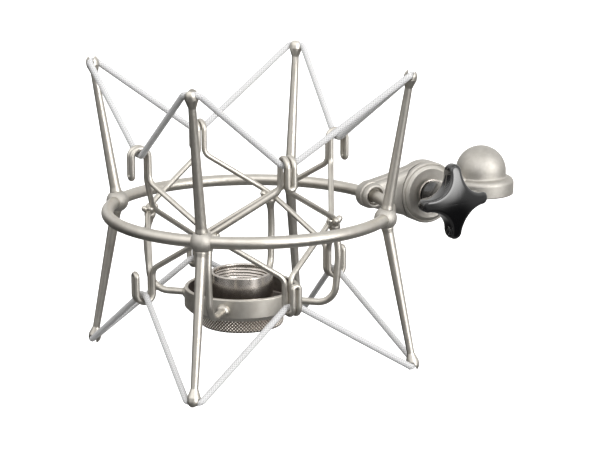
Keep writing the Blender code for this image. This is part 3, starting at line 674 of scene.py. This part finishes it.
def forked_post(head):
    """A tapered post along +Z from its ball's middle, with a slot for the band in its head."""
    end = post_axis(head)[1]
    base = end - HEAD_LENGTH
    widest = end - HEAD_WIDEST * HEAD_LENGTH
    profile = [
        (0, 0.002, 0),
        (POST_ROOT * 1.12, 0.002, 0),
        (POST_ROOT * 1.12, BALL_RADIUS * 0.92, 0.0006),
        (POST_ROOT, BALL_RADIUS * 1.25, 0.002),
        (POST_TIP, base, 0.0012),
        (HEAD_RADIUS, widest - 0.17 * HEAD_LENGTH, 0.0010),
    ]
    for degrees in range(0, 90, 8):
        turn = math.radians(degrees)
        rise = (end - widest) * math.sin(turn) ** 1.1
        profile.append((HEAD_RADIUS * math.cos(turn) ** 0.9, widest + rise, 0))
    mesh = lathe(profile + [(0, end, 0)], 48)
    slot = bmesh.new()
    bmesh.ops.create_cube(slot, size=1)
    size = Matrix.Diagonal((SLOT_WIDTH, 0.02, 0.01, 1))
    moved(slot, Matrix.Translation((0, 0, end - SLOT_DEPTH + 0.005)) @ size)
    corners = [e for e in slot.edges if all(v.co.z < end - SLOT_DEPTH + 1e-5 for v in e.verts)]
    lengthwise = [e for e in corners if abs(e.verts[0].co.y - e.verts[1].co.y) > 0.01]
    bmesh.ops.bevel(
        slot, geom=lengthwise, offset=SLOT_WIDTH * 0.4, segments=6, affect="EDGES", profile=0.5
    )
    slotted = cut(mesh, slot)
    return modified(
        slotted, ("BEVEL", {"width": 0.00018, "segments": 2, "angle_limit": math.radians(50)})
    )


def ball_node():
    """A ball where the ring and two posts meet."""
    mesh = bmesh.new()
    bmesh.ops.create_uvsphere(mesh, u_segments=48, v_segments=32, radius=BALL_RADIUS)
    return mesh


def build_posts():
    """Four balls, each with an upper and a lower post."""
    upper = mesh_data(forked_post(UPPER_HEAD), "upper_post")
    lower = mesh_data(forked_post(LOWER_HEAD), "lower_post")
    posts = (
        ("post_top_", "upper_post_", upper, post_axis(UPPER_HEAD)[0]),
        ("post_base_", "lower_post_", lower, math.pi - post_axis(LOWER_HEAD)[0]),
    )
    ball = mesh_data(ball_node(), "ball")
    for name, degrees in POSTS.items():
        turn = math.radians(degrees)
        place = CENTRE + RING_RADIUS * Vector((math.cos(turn), math.sin(turn), 0))
        piece("node_" + name, ball, "cast_nickel", "outer_frame", ["ball_" + name], place)
        for shown, node, mesh, tilt in posts:
            stands_for = [node + name]
            lean = (0, tilt, turn)
            piece(shown + name, mesh, "satin_nickel", "outer_frame", stands_for, place, lean)


# --- Bands ---
def polar(radius, degrees, across, height):
    """A point at a radius and azimuth, moved across the radius and up."""
    turn = math.radians(degrees)
    return Vector(
        (
            radius * math.cos(turn) - across * math.sin(turn),
            radius * math.sin(turn) + across * math.cos(turn),
            height,
        )
    )


def hook_turn(side):
    """Degrees that the hooks of a side stand off their even places round the cradle."""
    return UPPER_HOOK_TURN if side > 0 else 0


def build_band(name, head, side):
    """An endless band that stretches between the posts' forks and the cradle's hooks."""
    tilt, end = post_axis(head)
    seat = end - SLOT_DEPTH + GAP + BAND_RADIUS
    fork_radius = RING_RADIUS + seat * math.sin(tilt)
    fork_height = side * seat * math.cos(tilt)
    hook_height = CRADLE_MIDDLE + side * (HOOK_REACH - WIRE_RADIUS - GAP - BAND_RADIUS)
    hook_radius = (HOOK_INNER + HOOK_OUTER) / 2
    offset = HANGING - CENTRE
    corners = []
    for step in range(4):
        fork, hook = 45 + 90 * step, 90 + 90 * step + hook_turn(side)
        for across in (-BAND_FORK_CORNER, BAND_FORK_CORNER):
            corners.append((polar(fork_radius, fork, across, fork_height), BAND_FORK_BEND))
        for across in (-BAND_HOOK_CORNER, BAND_HOOK_CORNER):
            corner = polar(hook_radius, hook, across, hook_height) + offset
            corners.append((corner, BAND_HOOK_BEND))
    path = rounded(corners, loop=True, arc_step=math.radians(6))
    dense = subdivided(path + path[:1], 0.0008)[:-1]
    mesh = swept(dense, lambda point: BAND_RADIUS, 20, loop=True)
    made = piece(name + "_cord", mesh, "white_elastic", None, [name], CENTRE)
    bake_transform(made)


# --- Cradle ---
def hook_corners(side, degrees):
    """Corners of a double hook, from its first leg to its last."""
    leg = CRADLE_MIDDLE + side * LEG_BEND
    bend = CRADLE_MIDDLE + side * HOOK_REACH
    hairpin = CRADLE_MIDDLE + side * HAIRPIN_END
    over = (HOOK_OUTER - HOOK_INNER) / 2 * 0.98
    degrees += hook_turn(side)
    half = []
    for across in (-HOOK_HALF_WIDTH, HOOK_HALF_WIDTH):
        half.append(
            [
                (polar(HOOK_INNER, degrees, across, leg), LEG_BEND_RADIUS),
                (polar(HOOK_INNER, degrees, across, bend), over),
                (polar(HOOK_OUTER, degrees, across, bend), over),
                (polar(HOOK_OUTER, degrees, across, hairpin), HAIRPIN_BEND),
            ]
        )
    return half[0] + half[1][::-1]


def build_wires():
    """Two endless wires, each over an upper hook, under a lower one, and so on round."""
    for name, first_side, crossing in (("a", -1, CROSSING_OUTER), ("b", 1, CROSSING_INNER)):
        corners = []
        stands_for = []
        for step, (hook, degrees) in enumerate(sorted(HOOKS.items(), key=lambda item: item[1])):
            side = -first_side if step % 2 else first_side
            corners += hook_corners(side, degrees)
            corners.append((polar(crossing, degrees + 45, 0, CRADLE_MIDDLE), CROSSING_BEND))
            stands_for.append(("upper_hook_" if side > 0 else "lower_hook_") + hook)
        path = rounded(corners, loop=True, arc_step=math.radians(8))
        mesh = swept(path, lambda point: WIRE_RADIUS, 18, loop=True)
        piece("cradle_wire_" + name, mesh, "satin_nickel", "cradle", stands_for, HANGING)


def arm_path():
    """The middle line of a cradle arm at azimuth 0, from the crossing to inside the cup's wall."""
    middle = (CROSSING_INNER + CROSSING_OUTER) / 2
    return rounded(
        [
            (Vector((middle, 0, CRADLE_MIDDLE - ARM_TOP_DROP)), 0),
            (Vector((middle + ARM_BOW[0], 0, ARM_BOW[1])), ARM_BOW_RADIUS),
            (Vector((middle, 0, ARM_HEIGHT)), ARM_ELBOW_RADIUS),
            (Vector((CUP_RADIUS - ARM_IN_WALL, 0, ARM_HEIGHT)), 0),
        ],
        arc_step=math.radians(3),
    )


def arm_knot():
    """The arm's forked head, brazed around the two wires where they cross."""
    middle = (CROSSING_INNER + CROSSING_OUTER) / 2
    stem_top = Vector((middle, 0, CRADLE_MIDDLE - KNOT_TOP_DROP))
    stem_foot = Vector((middle + 0.0006, 0, CRADLE_MIDDLE - KNOT_FOOT_DROP))
    mesh = swept([stem_foot, stem_foot.lerp(stem_top, 0.5), stem_top], knot_radius, 20)
    balls = [(stem_top + Vector((0, 0, -0.0004)), KNOT_BEAD_RADIUS)]
    for side in (-1, 1):
        for radius in (CROSSING_INNER, CROSSING_OUTER):
            tip = Vector((radius, side * KNOT_PRONG_SPREAD, CRADLE_MIDDLE + 0.0002))
            path = [stem_top, stem_top.lerp(tip, 0.5), tip]
            prong = swept(path, lambda point: KNOT_PRONG_RADIUS, 16)
            mesh.from_mesh(mesh_data(prong, "prong"))
            balls.append((tip, KNOT_PRONG_RADIUS))
    for place, radius in balls:
        bead = bmesh.new()
        bmesh.ops.create_uvsphere(bead, u_segments=24, v_segments=16, radius=radius)
        moved(bead, Matrix.Translation(place))
        mesh.from_mesh(mesh_data(bead, "bead"))
    return melted(mesh, KNOT_VOXEL, 8)


def knot_radius(point):
    """Radius of the knot's stem, wider towards its top."""
    rise = (point.z - (CRADLE_MIDDLE - KNOT_FOOT_DROP)) / 0.0045
    return ARM_RADIUS + KNOT_FLARE * max(0.0, rise)


def weld_collar():
    """A rounded bead where an arm meets the cup, along +X."""
    start = CUP_RADIUS - 0.0004
    bead = []
    for degrees in range(0, 60, 8):
        turn = math.radians(degrees)
        height = start + COLLAR_LENGTH * (0.25 + 0.95 * math.sin(turn))
        bead.append((COLLAR_RADIUS * math.cos(turn), height, 0))
    mesh = lathe(
        [
            (ARM_RADIUS * 0.9, start, 0),
            (COLLAR_RADIUS, start, 0),
            *bead,
            (ARM_RADIUS * 0.9, bead[-1][1], 0),
        ],
        40,
        loop=True,
    )
    return moved(mesh, Matrix.Rotation(math.pi / 2, 4, "Y"))


def build_arms():
    """Four arms with their knots at the crossings and their weld beads at the cup."""
    rod = mesh_data(swept(arm_path(), lambda point: ARM_RADIUS, 24), "arm")
    knot = mesh_data(arm_knot(), "knot")
    collar = mesh_data(weld_collar(), "weld")
    for name, degrees in POSTS.items():
        turn = (0, 0, math.radians(degrees))
        stands_for = ["cradle_arm_" + name]
        piece("arm_rod_" + name, rod, "satin_nickel", "cradle", stands_for, HANGING, turn)
        piece("arm_knot_" + name, knot, "satin_nickel", "cradle", [], HANGING, turn)
        place = HANGING + Vector((0, 0, ARM_HEIGHT))
        stands_for = ["arm_collar_" + name]
        piece("arm_weld_" + name, collar, "satin_nickel", "cradle", stands_for, place, turn)


def build_cup():
    """The cup's bright shell, and a dark layer inside it: painted shade for the cup's hollow."""
    hole = SLEEVE_RADIUS + GAP
    floor = CUP_BOTTOM + CUP_FLOOR
    inside = CUP_RADIUS - CUP_WALL
    shade_layer = 0.0003
    seam = [
        (hole, floor - shade_layer, 0),
        (inside + shade_layer, floor - shade_layer, 0),
        (inside + shade_layer, CUP_TOP - 0.0005, 0),
        (inside, CUP_TOP - 0.0005, 0),
    ]
    shell = lathe(
        [
            (hole, CUP_BOTTOM, 0.0003),
            (CUP_RADIUS - CUP_CHAMFER, CUP_BOTTOM, 0.0003),
            (CUP_RADIUS, CUP_BOTTOM + CUP_CHAMFER, 0.0006),
            (CUP_RADIUS, CUP_TOP, 0.0005),
            (inside, CUP_TOP, 0.0003),
            *seam[::-1],
        ],
        160,
        loop=True,
    )
    piece("base_cup_shell", shell, "satin_nickel", "cradle", ["base_cup"], HANGING)
    inner = lathe([*seam, (inside, floor, 0.0008), (hole, floor, 0.0001)], 160, loop=True)
    # painted shade: this dark piece darkens the cup's inner wall and floor, where shade falls
    piece("base_cup_painted_shade", inner, "painted_shade_steel", "cradle", [], HANGING)


# --- Sleeve ---
def threaded_bore(crest, top, pitch, depth, turns, bottom):
    """Heights down a bore and a function for its radius, with a helical groove near the top."""
    span = turns * pitch
    per_turn = 12
    heights = [top - pitch * k / per_turn for k in range(int(turns * per_turn) + 1)]
    heights += [heights[-1] - pitch, bottom]

    def radius_at(turn, height):
        below = (top - height) / pitch
        if height < top - span:
            return crest
        fade = min(1.0, below * 2, (turns - below) * 2)
        phase = (below + turn / (2 * math.pi)) % 1
        return crest + depth * max(0.0, fade) * (0.5 - 0.5 * math.cos(2 * math.pi * phase)) ** 0.7

    return heights, radius_at


def build_sleeve():
    """The sleeve with its rounded lip and inside thread, and its retaining ring."""
    lip = 0.00055
    outer = half_section(
        [
            (SLEEVE_BORE + 0.0002, SLEEVE_BOTTOM, 0),
            (SLEEVE_RADIUS, SLEEVE_BOTTOM, 0.0003),
            (SLEEVE_RADIUS, SLEEVE_TOP, lip),
            (SLEEVE_BORE, SLEEVE_TOP, lip),
            (SLEEVE_BORE, SLEEVE_TOP - 0.0010, 0),
        ]
    )
    heights, radius_at = threaded_bore(
        SLEEVE_BORE, SLEEVE_TOP - 0.0012, THREAD_PITCH, THREAD_DEPTH, THREAD_TURNS, SLEEVE_BOTTOM
    )
    steps = 144
    rings = [circle(p.x, p.z, steps) for p in outer]
    rings += [wavy_circle(radius_at, height, steps) for height in heights]
    mesh = stack(rings, loop=True)
    piece(
        "sleeve_tube", mesh, "polished_steel", "mic_sleeve", ["threaded_sleeve"], HANGING, crease=50
    )

    low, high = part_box("retaining_ring")
    outer_radius = (high.x - low.x) / 2
    bottom, top = low.z - CENTRE.z, high.z - CENTRE.z
    clip = flat_ring(SLEEVE_RADIUS + 0.0001, outer_radius, bottom, top)
    piece("sleeve_clip", clip, "polished_steel", "mic_sleeve", ["retaining_ring"], HANGING)


def build_knurled_ring():
    """Diamond knurling: two opposite sets of helical grooves, cut where either runs."""
    steps = KNURL_TURNS * 6
    levels = 30
    bottom = KNURL_TOP - KNURL_HEIGHT
    bore = SLEEVE_RADIUS + GAP
    chamfer = 0.0006

    def radius_at(turn, height):
        first = math.cos(KNURL_TURNS * turn + KNURL_LEAN * height)
        second = math.cos(KNURL_TURNS * turn - KNURL_LEAN * height)
        return KNURL_RADIUS - KNURL_DEPTH * (0.5 + 0.5 * max(first, second))

    rings = [circle(bore, bottom, steps), circle(KNURL_RADIUS - chamfer, bottom, steps)]
    for k in range(levels + 1):
        height = bottom + chamfer + (KNURL_HEIGHT - 2 * chamfer) * k / levels
        rings.append(wavy_circle(radius_at, height, steps))
    rings.append(circle(KNURL_RADIUS - chamfer, KNURL_TOP, steps))
    rings.append(circle(bore, KNURL_TOP, steps))
    mesh = stack(rings, loop=True)
    piece(
        "knurled_collar", mesh, "knurled_steel", "mic_sleeve", ["knurled_ring"], HANGING, crease=60
    )


# --- Swivel and coupling ---
def facing(side):
    """Turns a body's +Z along Y, to the side given."""
    return Matrix.Rotation(-side * math.pi / 2, 4, "X")


def clamp_disc(side, thickness):
    """A disc of the swivel: a rounded rim, a groove inside it, and a shallow dished face."""
    back = DISC_START + thickness
    mesh = lathe(
        [
            (0, DISC_START, 0),
            (DISC_RADIUS - 0.0003, DISC_START, 0.0001),
            (DISC_RADIUS, DISC_START + 0.0004, 0.0002),
            (DISC_RADIUS, back - 0.0016, 0.0005),
            (DISC_RADIUS - 0.0007, back - 0.0010, 0.0002),
            (DISC_RADIUS - 0.0010, back - 0.0014, 0.0001),
            (DISC_RADIUS - 0.0013, back - 0.0008, 0.0002),
            (DISC_RADIUS - 0.0024, back, 0.0008),
            (0.0062, back - 0.0009, 0.0006),
            (0, back - 0.0009, 0),
        ],
        120,
    )
    return moved(mesh, facing(side))


def cutter(radius, start, end):
    """A plain rod about Z, for cutting."""
    return lathe([(0, start, 0), (radius, start, 0), (radius, end, 0), (0, end, 0)])


def neck_half(root, layer, inset):
    """One layer of the neck, from its root at the ring to the swivel.

    The layer's rows hold a share of the way, a middle in Y, half a thickness and half a height.
    """
    sections = []
    for share, middle, half_thickness, half_height in layer:
        place = root * (1 - share) + Vector((0, middle, 0))
        sections.append((place, half_thickness, half_height - inset))
    return loft(sections, 0.55)


def build_neck():
    """The bracket round the ring, the neck in two stepped layers, and the neck's disc."""
    to_bracket = Vector((CENTRE.x + RING_RADIUS, 0, CENTRE.z)) - SWIVEL
    step = -0.0013
    collar = lathe(
        [
            (RING_TUBE + 0.0002, -0.0024, 0.0001),
            (RING_TUBE + 0.0008, -0.0026, 0.0002),
            (RING_TUBE + 0.0013, -BRACKET_HALF_LENGTH, 0.0004),
            (BRACKET_RADIUS - 0.0010, -BRACKET_HALF_LENGTH, 0.0007),
            (BRACKET_RADIUS - 0.0005, -0.0030, 0.0006),
            (BRACKET_RADIUS - 0.0006, step - 0.0004, 0.0001),
            (BRACKET_RADIUS - 0.0009, step - 0.0002, 0.0001),
            (BRACKET_RADIUS, step, 0.0003),
            (BRACKET_RADIUS, BRACKET_HALF_LENGTH - 0.0014, 0.0010),
            (BRACKET_RADIUS - 0.0012, BRACKET_HALF_LENGTH, 0.0008),
            (RING_TUBE + 0.0010, BRACKET_HALF_LENGTH, 0.0004),
            (RING_TUBE + 0.0002, BRACKET_HALF_LENGTH - 0.0012, 0.0001),
        ],
        96,
        loop=True,
    )
    back_layer = [
        (0.0, 0.0015, 0.0028, 0.0057),
        (0.35, 0.0021, 0.0032, 0.0080),
        (0.65, 0.0030, 0.0033, 0.0103),
        (0.85, 0.0035, 0.0031, 0.0120),
        (1.0, 0.0036, 0.0029, 0.0125),
    ]
    front_layer = [
        (0.0, 0.0000, 0.0038, 0.0056),
        (0.35, 0.0002, 0.0036, 0.0079),
        (0.65, 0.0007, 0.0027, 0.0102),
        (0.85, 0.0012, 0.0015, 0.0119),
        (1.0, 0.0020, 0.0010, 0.0124),
    ]
    at_bracket = Matrix.Translation(to_bracket) @ facing(1)
    for name, layer, inset in (("back", back_layer, 0), ("front", front_layer, 0.0006)):
        body = neck_half(to_bracket, layer, inset)
        clearance = cutter(DISC_RADIUS + GAP, -CUTTER_REACH, DISC_START + 0.0004)
        body = cut(body, moved(clearance, facing(1)))
        bore = cutter(RING_TUBE + 0.0011, -CUTTER_REACH, CUTTER_REACH)
        body = cut(body, moved(bore, at_bracket))
        replaced = ["swivel_neck"] if name == "back" else []
        piece("neck_" + name, body, "cast_nickel", "outer_frame", replaced, SWIVEL)
    piece("neck_disc", clamp_disc(1, FAR_DISC), "cast_nickel", "outer_frame", [], SWIVEL)
    moved(collar, at_bracket)
    piece("ring_bracket", collar, "cast_nickel", "outer_frame", [], SWIVEL)


def build_coupling():
    """The coupling's arm and disc, and its flanged dome with an open socket."""
    arm = loft(
        [
            (Vector((0, 0, 0)), 0.0026, 0.0122),
            (Vector((0.0040, 0, 0)), 0.0034, 0.0115),
            (Vector((0.0105, 0, 0)), 0.0042, 0.0084),
            (Vector((-SWIVEL.x - 0.009, 0, 0.0002)), 0.0052, 0.0052),
            (Vector((-SWIVEL.x, 0, 0.0001)), 0.0060, 0.0033),
        ]
    )
    arm = cut(arm, moved(cutter(DISC_RADIUS + GAP, -0.0012, CUTTER_REACH), facing(1)))
    piece("coupling_arm", arm, "cast_nickel", "stand_coupling", [], SWIVEL)
    piece("coupling_disc", clamp_disc(-1, NEAR_DISC), "cast_nickel", "stand_coupling", [], SWIVEL)
    corners = [
        (SOCKET_RADIUS, 0, 0.0002),
        (FLANGE_RADIUS, 0, 0.0006),
        (FLANGE_RADIUS, FLANGE_HEIGHT, FLANGE_ROUNDING),
        (DOME_RADIUS, FLANGE_HEIGHT, 0.0009),
        (DOME_RADIUS, DOME_CENTRE, 0),
    ]
    points = half_section(corners)
    for degrees in range(4, 90, 4):
        turn = math.radians(degrees)
        points.append(
            Vector((DOME_RADIUS * math.cos(turn), 0, DOME_CENTRE + DOME_RADIUS * math.sin(turn)))
        )
    points.append(Vector((0, 0, DOME_CENTRE + DOME_RADIUS)))
    inner = [
        Vector((0, 0, SOCKET_DEPTH + SOCKET_STEP)),
        Vector((SOCKET_RADIUS - 0.0042, 0, SOCKET_DEPTH + SOCKET_STEP)),
        Vector((SOCKET_RADIUS - SOCKET_STEP, 0, SOCKET_DEPTH)),
        Vector((SOCKET_RADIUS, 0, SOCKET_DEPTH)),
    ]
    mesh = stack([circle(p.x, p.z, 120) for p in inner + points])
    piece("coupling_dome", mesh, "cast_nickel", "stand_coupling", ["stand_casting"])


def build_stand_thread():
    """The coupling's threaded insert, with a helical groove down its bore."""
    low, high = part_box("stand_thread_insert")
    outer = (high.x - low.x) / 2
    crest = outer - STAND_THREAD_WALL
    mouth = 0.0002
    steps = 120
    heights, radius_at = threaded_bore(
        crest, high.z - 0.0008, STAND_THREAD_PITCH, STAND_THREAD_DEPTH, STAND_THREAD_TURNS, 0.0
    )
    section = [(crest + 0.0003, 0), (outer, 0), (outer, high.z), (crest, high.z)]
    rings = [circle(radius, height, steps) for radius, height in section]
    rings += [wavy_circle(radius_at, height, steps) for height in heights if height > mouth]
    mesh = stack(rings, loop=True)
    piece("stand_thread", mesh, "brass", "stand_coupling", ["stand_thread_insert"], crease=60)


def build_clamp():
    """Bolt, friction disc, washer and the knob's insert."""
    head = DISC_START + FAR_DISC + GAP
    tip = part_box("pivot_bolt")[0].y
    bolt = lathe(
        [
            (0, tip, 0),
            (BOLT_RADIUS, tip, 0.0005),
            (BOLT_RADIUS, head, 0),
            (BOLT_HEAD_RADIUS, head, 0.0003),
            (BOLT_HEAD_RADIUS, head + BOLT_HEAD - 0.0010, 0.0004),
            (BOLT_HEAD_RADIUS - 0.0011, head + BOLT_HEAD - 0.0002, 0.0006),
            (0, head + BOLT_HEAD, 0),
        ],
        64,
    )
    moved(bolt, facing(1))
    piece("clamp_bolt", bolt, "polished_steel", "outer_frame", ["pivot_bolt"], SWIVEL)
    fibre = flat_ring(BOLT_HOLE, FRICTION_RADIUS, -FRICTION_HALF, FRICTION_HALF, 0, 0.0001)
    moved(fibre, facing(1))
    piece("friction_pad", fibre, "dark_fibre", "stand_coupling", ["friction_disc"], SWIVEL)
    for name, node, radius, steps, finish, body in (
        ("clamp_washer_ring", "knob_washer", WASHER_RADIUS, 72, "polished_steel", "outer_frame"),
        ("knob_bush", "knob_insert", INSERT_RADIUS, 48, "brass", "clamp_knob"),
    ):
        near, far = -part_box(node)[1].y, -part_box(node)[0].y
        ring = moved(flat_ring(BOLT_HOLE, radius, near, far, steps=steps), facing(-1))
        piece(name, ring, finish, body, [node], SWIVEL)


# --- Star knob ---
def star_outline(inset, per_quarter=40):
    """Four round lobes joined by hollow arcs, all moved in by an inset."""
    lobe = KNOB_LOBE - inset
    valley = KNOB_VALLEY - inset
    lobe_centre = KNOB_REACH - KNOB_LOBE
    shy = valley - lobe
    middle = (lobe_centre ** 2 - shy ** 2) / (2 * (lobe_centre * math.cos(math.pi / 4) - shy))
    hollow = middle - valley
    mid_x = middle * math.cos(math.pi / 4)
    tangent = math.atan2(mid_x, mid_x - lobe_centre)
    lobe_steps = per_quarter // 5
    hollow_steps = per_quarter - 2 * lobe_steps
    quarter = []
    for k in range(lobe_steps):
        turn = tangent * k / lobe_steps
        quarter.append((lobe_centre + lobe * math.cos(turn), lobe * math.sin(turn)))
    for k in range(hollow_steps + 1):
        turn = math.pi + tangent + (math.pi / 2 - 2 * tangent) * k / hollow_steps
        quarter.append((mid_x + hollow * math.cos(turn), mid_x + hollow * math.sin(turn)))
    for k in range(1, lobe_steps):
        turn = tangent * (1 - k / lobe_steps)
        quarter.append((lobe * math.sin(turn), lobe_centre + lobe * math.cos(turn)))
    points = []
    for step in range(4):
        base = step * math.pi / 2
        c, s = math.cos(base), math.sin(base)
        points += [(x * c - y * s, x * s + y * c) for x, y in quarter]
    return points


def build_knob():
    """A four-lobed knob with a crowned face, a rounded rim and a hub behind."""
    near, front = -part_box("star_knob")[1].y, -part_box("star_knob")[0].y
    back = near + KNOB_HUB_LENGTH
    steps = len(star_outline(0))

    def lobes(scale, inset, height, domed=0.0):
        ring = []
        for x, y in star_outline(inset):
            reach = math.hypot(x * scale, y * scale) / KNOB_REACH
            ring.append((x * scale, y * scale, height - domed * reach ** 2))
        return ring

    rim = [(0.0, 0.0011), (0.0001, 0.0007), (0.0003, 0.0004), (0.0006, 0.0002), (0.0010, 0.00005)]
    rings = [
        [(0, 0, near + KNOB_BORE_DEPTH)],
        circle(KNOB_BORE_RADIUS, near + KNOB_BORE_DEPTH, steps),
        circle(KNOB_BORE_RADIUS, near, steps),
        circle(0.0050, near, steps),
        circle(KNOB_HUB_FLARE, near + 0.0004, steps),
        circle(KNOB_HUB_FLARE, near + 0.0014, steps),
        circle(KNOB_HUB_RADIUS, near + 0.0018, steps),
        circle(KNOB_HUB_RADIUS, back - 0.0030, steps),
        circle(KNOB_HUB_FLARE, back - 0.0012, steps),
        lobes(0.72, 0.0, back + 0.0004),
        lobes(0.90, 0.0, back + 0.0010),
        lobes(0.97, 0.0, back + 0.0018),
        lobes(1.0, 0.0, back + 0.0030),
        *[lobes(1.0, inset, front - drop, KNOB_CROWN) for inset, drop in rim],
        *[lobes(tenths / 10, KNOB_RIM, front, KNOB_CROWN) for tenths in range(10, 0, -1)],
        [(0, 0, front)],
    ]
    mesh = moved(stack(rings), facing(-1) @ Matrix.Rotation(KNOB_TURN, 4, "Z"))
    piece("knob_star", mesh, "black_gloss", "clamp_knob", ["star_knob"], SWIVEL, crease=50)


# --- Stage, light and camera ---
def direction(azimuth, elevation):
    turn, rise = math.radians(azimuth), math.radians(elevation)
    return Vector(
        (math.cos(turn) * math.cos(rise), math.sin(turn) * math.cos(rise), math.sin(rise))
    )


def build_stage():
    """A plain white floor that lights nothing: the world's lower half does that."""
    mesh = bmesh.new()
    bmesh.ops.create_grid(mesh, x_segments=1, y_segments=1, size=30)
    floor = added("floor", mesh_data(mesh, "floor"))
    floor.location = (0, 0, -0.35)
    look = Look("floor", (0.93, 0.93, 0.93), 0.0, 0.9)
    look.tint(look.noise(0.5), (0.925, 0.925, 0.925), (0.935, 0.935, 0.935))
    look.shader.inputs["Emission Color"].default_value = (1, 1, 1, 1)
    look.shader.inputs["Emission Strength"].default_value = 0.5
    floor.data.materials.append(look.material)
    floor.visible_glossy = False
    floor.visible_diffuse = False


def build_world():
    """A dome of light, dimmer below the horizon, with brighter and dimmer round patches."""
    world = bpy.data.worlds.new("studio")
    world.use_nodes = True
    bpy.context.scene.world = world
    nodes, links = world.node_tree.nodes, world.node_tree.links
    background = nodes["Background"]
    background.inputs["Color"].default_value = (1.0, 0.995, 0.985, 1)
    place = nodes.new("ShaderNodeTexCoord").outputs["Generated"]

    def graded(value, start, end, low, high):
        node = nodes.new("ShaderNodeMapRange")
        node.interpolation_type = "SMOOTHSTEP"
        settings = {"From Min": start, "From Max": end, "To Min": low, "To Max": high}
        for name, setting in settings.items():
            node.inputs[name].default_value = setting
        links.new(value, node.inputs["Value"])
        return node.outputs["Result"]

    split = nodes.new("ShaderNodeSeparateXYZ")
    links.new(place, split.inputs["Vector"])
    strength = graded(split.outputs["Z"], *DOME_HEIGHTS, *DOME_STRENGTHS)
    for azimuth, elevation, outer, inner, factor in DOME_PATCHES:
        dot = nodes.new("ShaderNodeVectorMath")
        dot.operation = "DOT_PRODUCT"
        dot.inputs[1].default_value = direction(azimuth, elevation)
        links.new(place, dot.inputs[0])
        start, end = math.cos(math.radians(outer)), math.cos(math.radians(inner))
        patch = graded(dot.outputs["Value"], start, end, 1.0, factor)
        product = nodes.new("ShaderNodeMath")
        product.operation = "MULTIPLY"
        links.new(strength, product.inputs[0])
        links.new(patch, product.inputs[1])
        strength = product.outputs[0]
    links.new(strength, background.inputs["Strength"])


def area_light(name, azimuth, elevation, distance, size, power):
    """A soft box that faces the object from a direction."""
    light = bpy.data.lights.new(name, "AREA")
    light.shape = "RECTANGLE"
    light.size, light.size_y = size
    light.energy = power
    made = added(name, light)
    middle = (cad_bounds[0] + cad_bounds[1]) / 2
    away = direction(azimuth, elevation)
    made.location = middle + away * distance
    made.rotation_mode = "QUATERNION"
    made.rotation_quaternion = away.to_track_quat("Z", "Y")


def build_camera():
    """The camera, aimed at the ring and turned by its place in the view."""
    data = bpy.data.cameras.new("camera")
    data.lens = CAMERA_LENS
    data.sensor_width = 36
    camera = added("camera", data)
    away = direction(CAMERA_AZIMUTH, CAMERA_ELEVATION)
    camera.location = CENTRE + away * CAMERA_DISTANCE
    camera.rotation_mode = "QUATERNION"
    facing_ring = away.to_track_quat("Z", "Y")
    roll = Quaternion((0, 0, 1), math.radians(CAMERA_ROLL))
    seen = Vector((RING_IN_VIEW[0], RING_IN_VIEW[1], -1))
    swing = Vector((0, 0, -1)).rotation_difference(seen)
    camera.rotation_quaternion = facing_ring @ roll @ swing.inverted()
    data.clip_start = 0.01
    data.clip_end = 100
    bpy.context.scene.camera = camera


def main():
    """Everything, from the camera to the knob."""
    bpy.context.scene.view_settings.view_transform = "Standard"
    build_camera()
    build_stage()
    build_world()
    for box in SOFT_BOXES:
        area_light(*box)
    build_ring()
    build_posts()
    build_band("upper_band", UPPER_HEAD, 1)
    build_band("lower_band", LOWER_HEAD, -1)
    build_wires()
    build_arms()
    build_cup()
    build_sleeve()
    build_knurled_ring()
    build_neck()
    build_coupling()
    build_stand_thread()
    build_clamp()
    build_knob()


main()
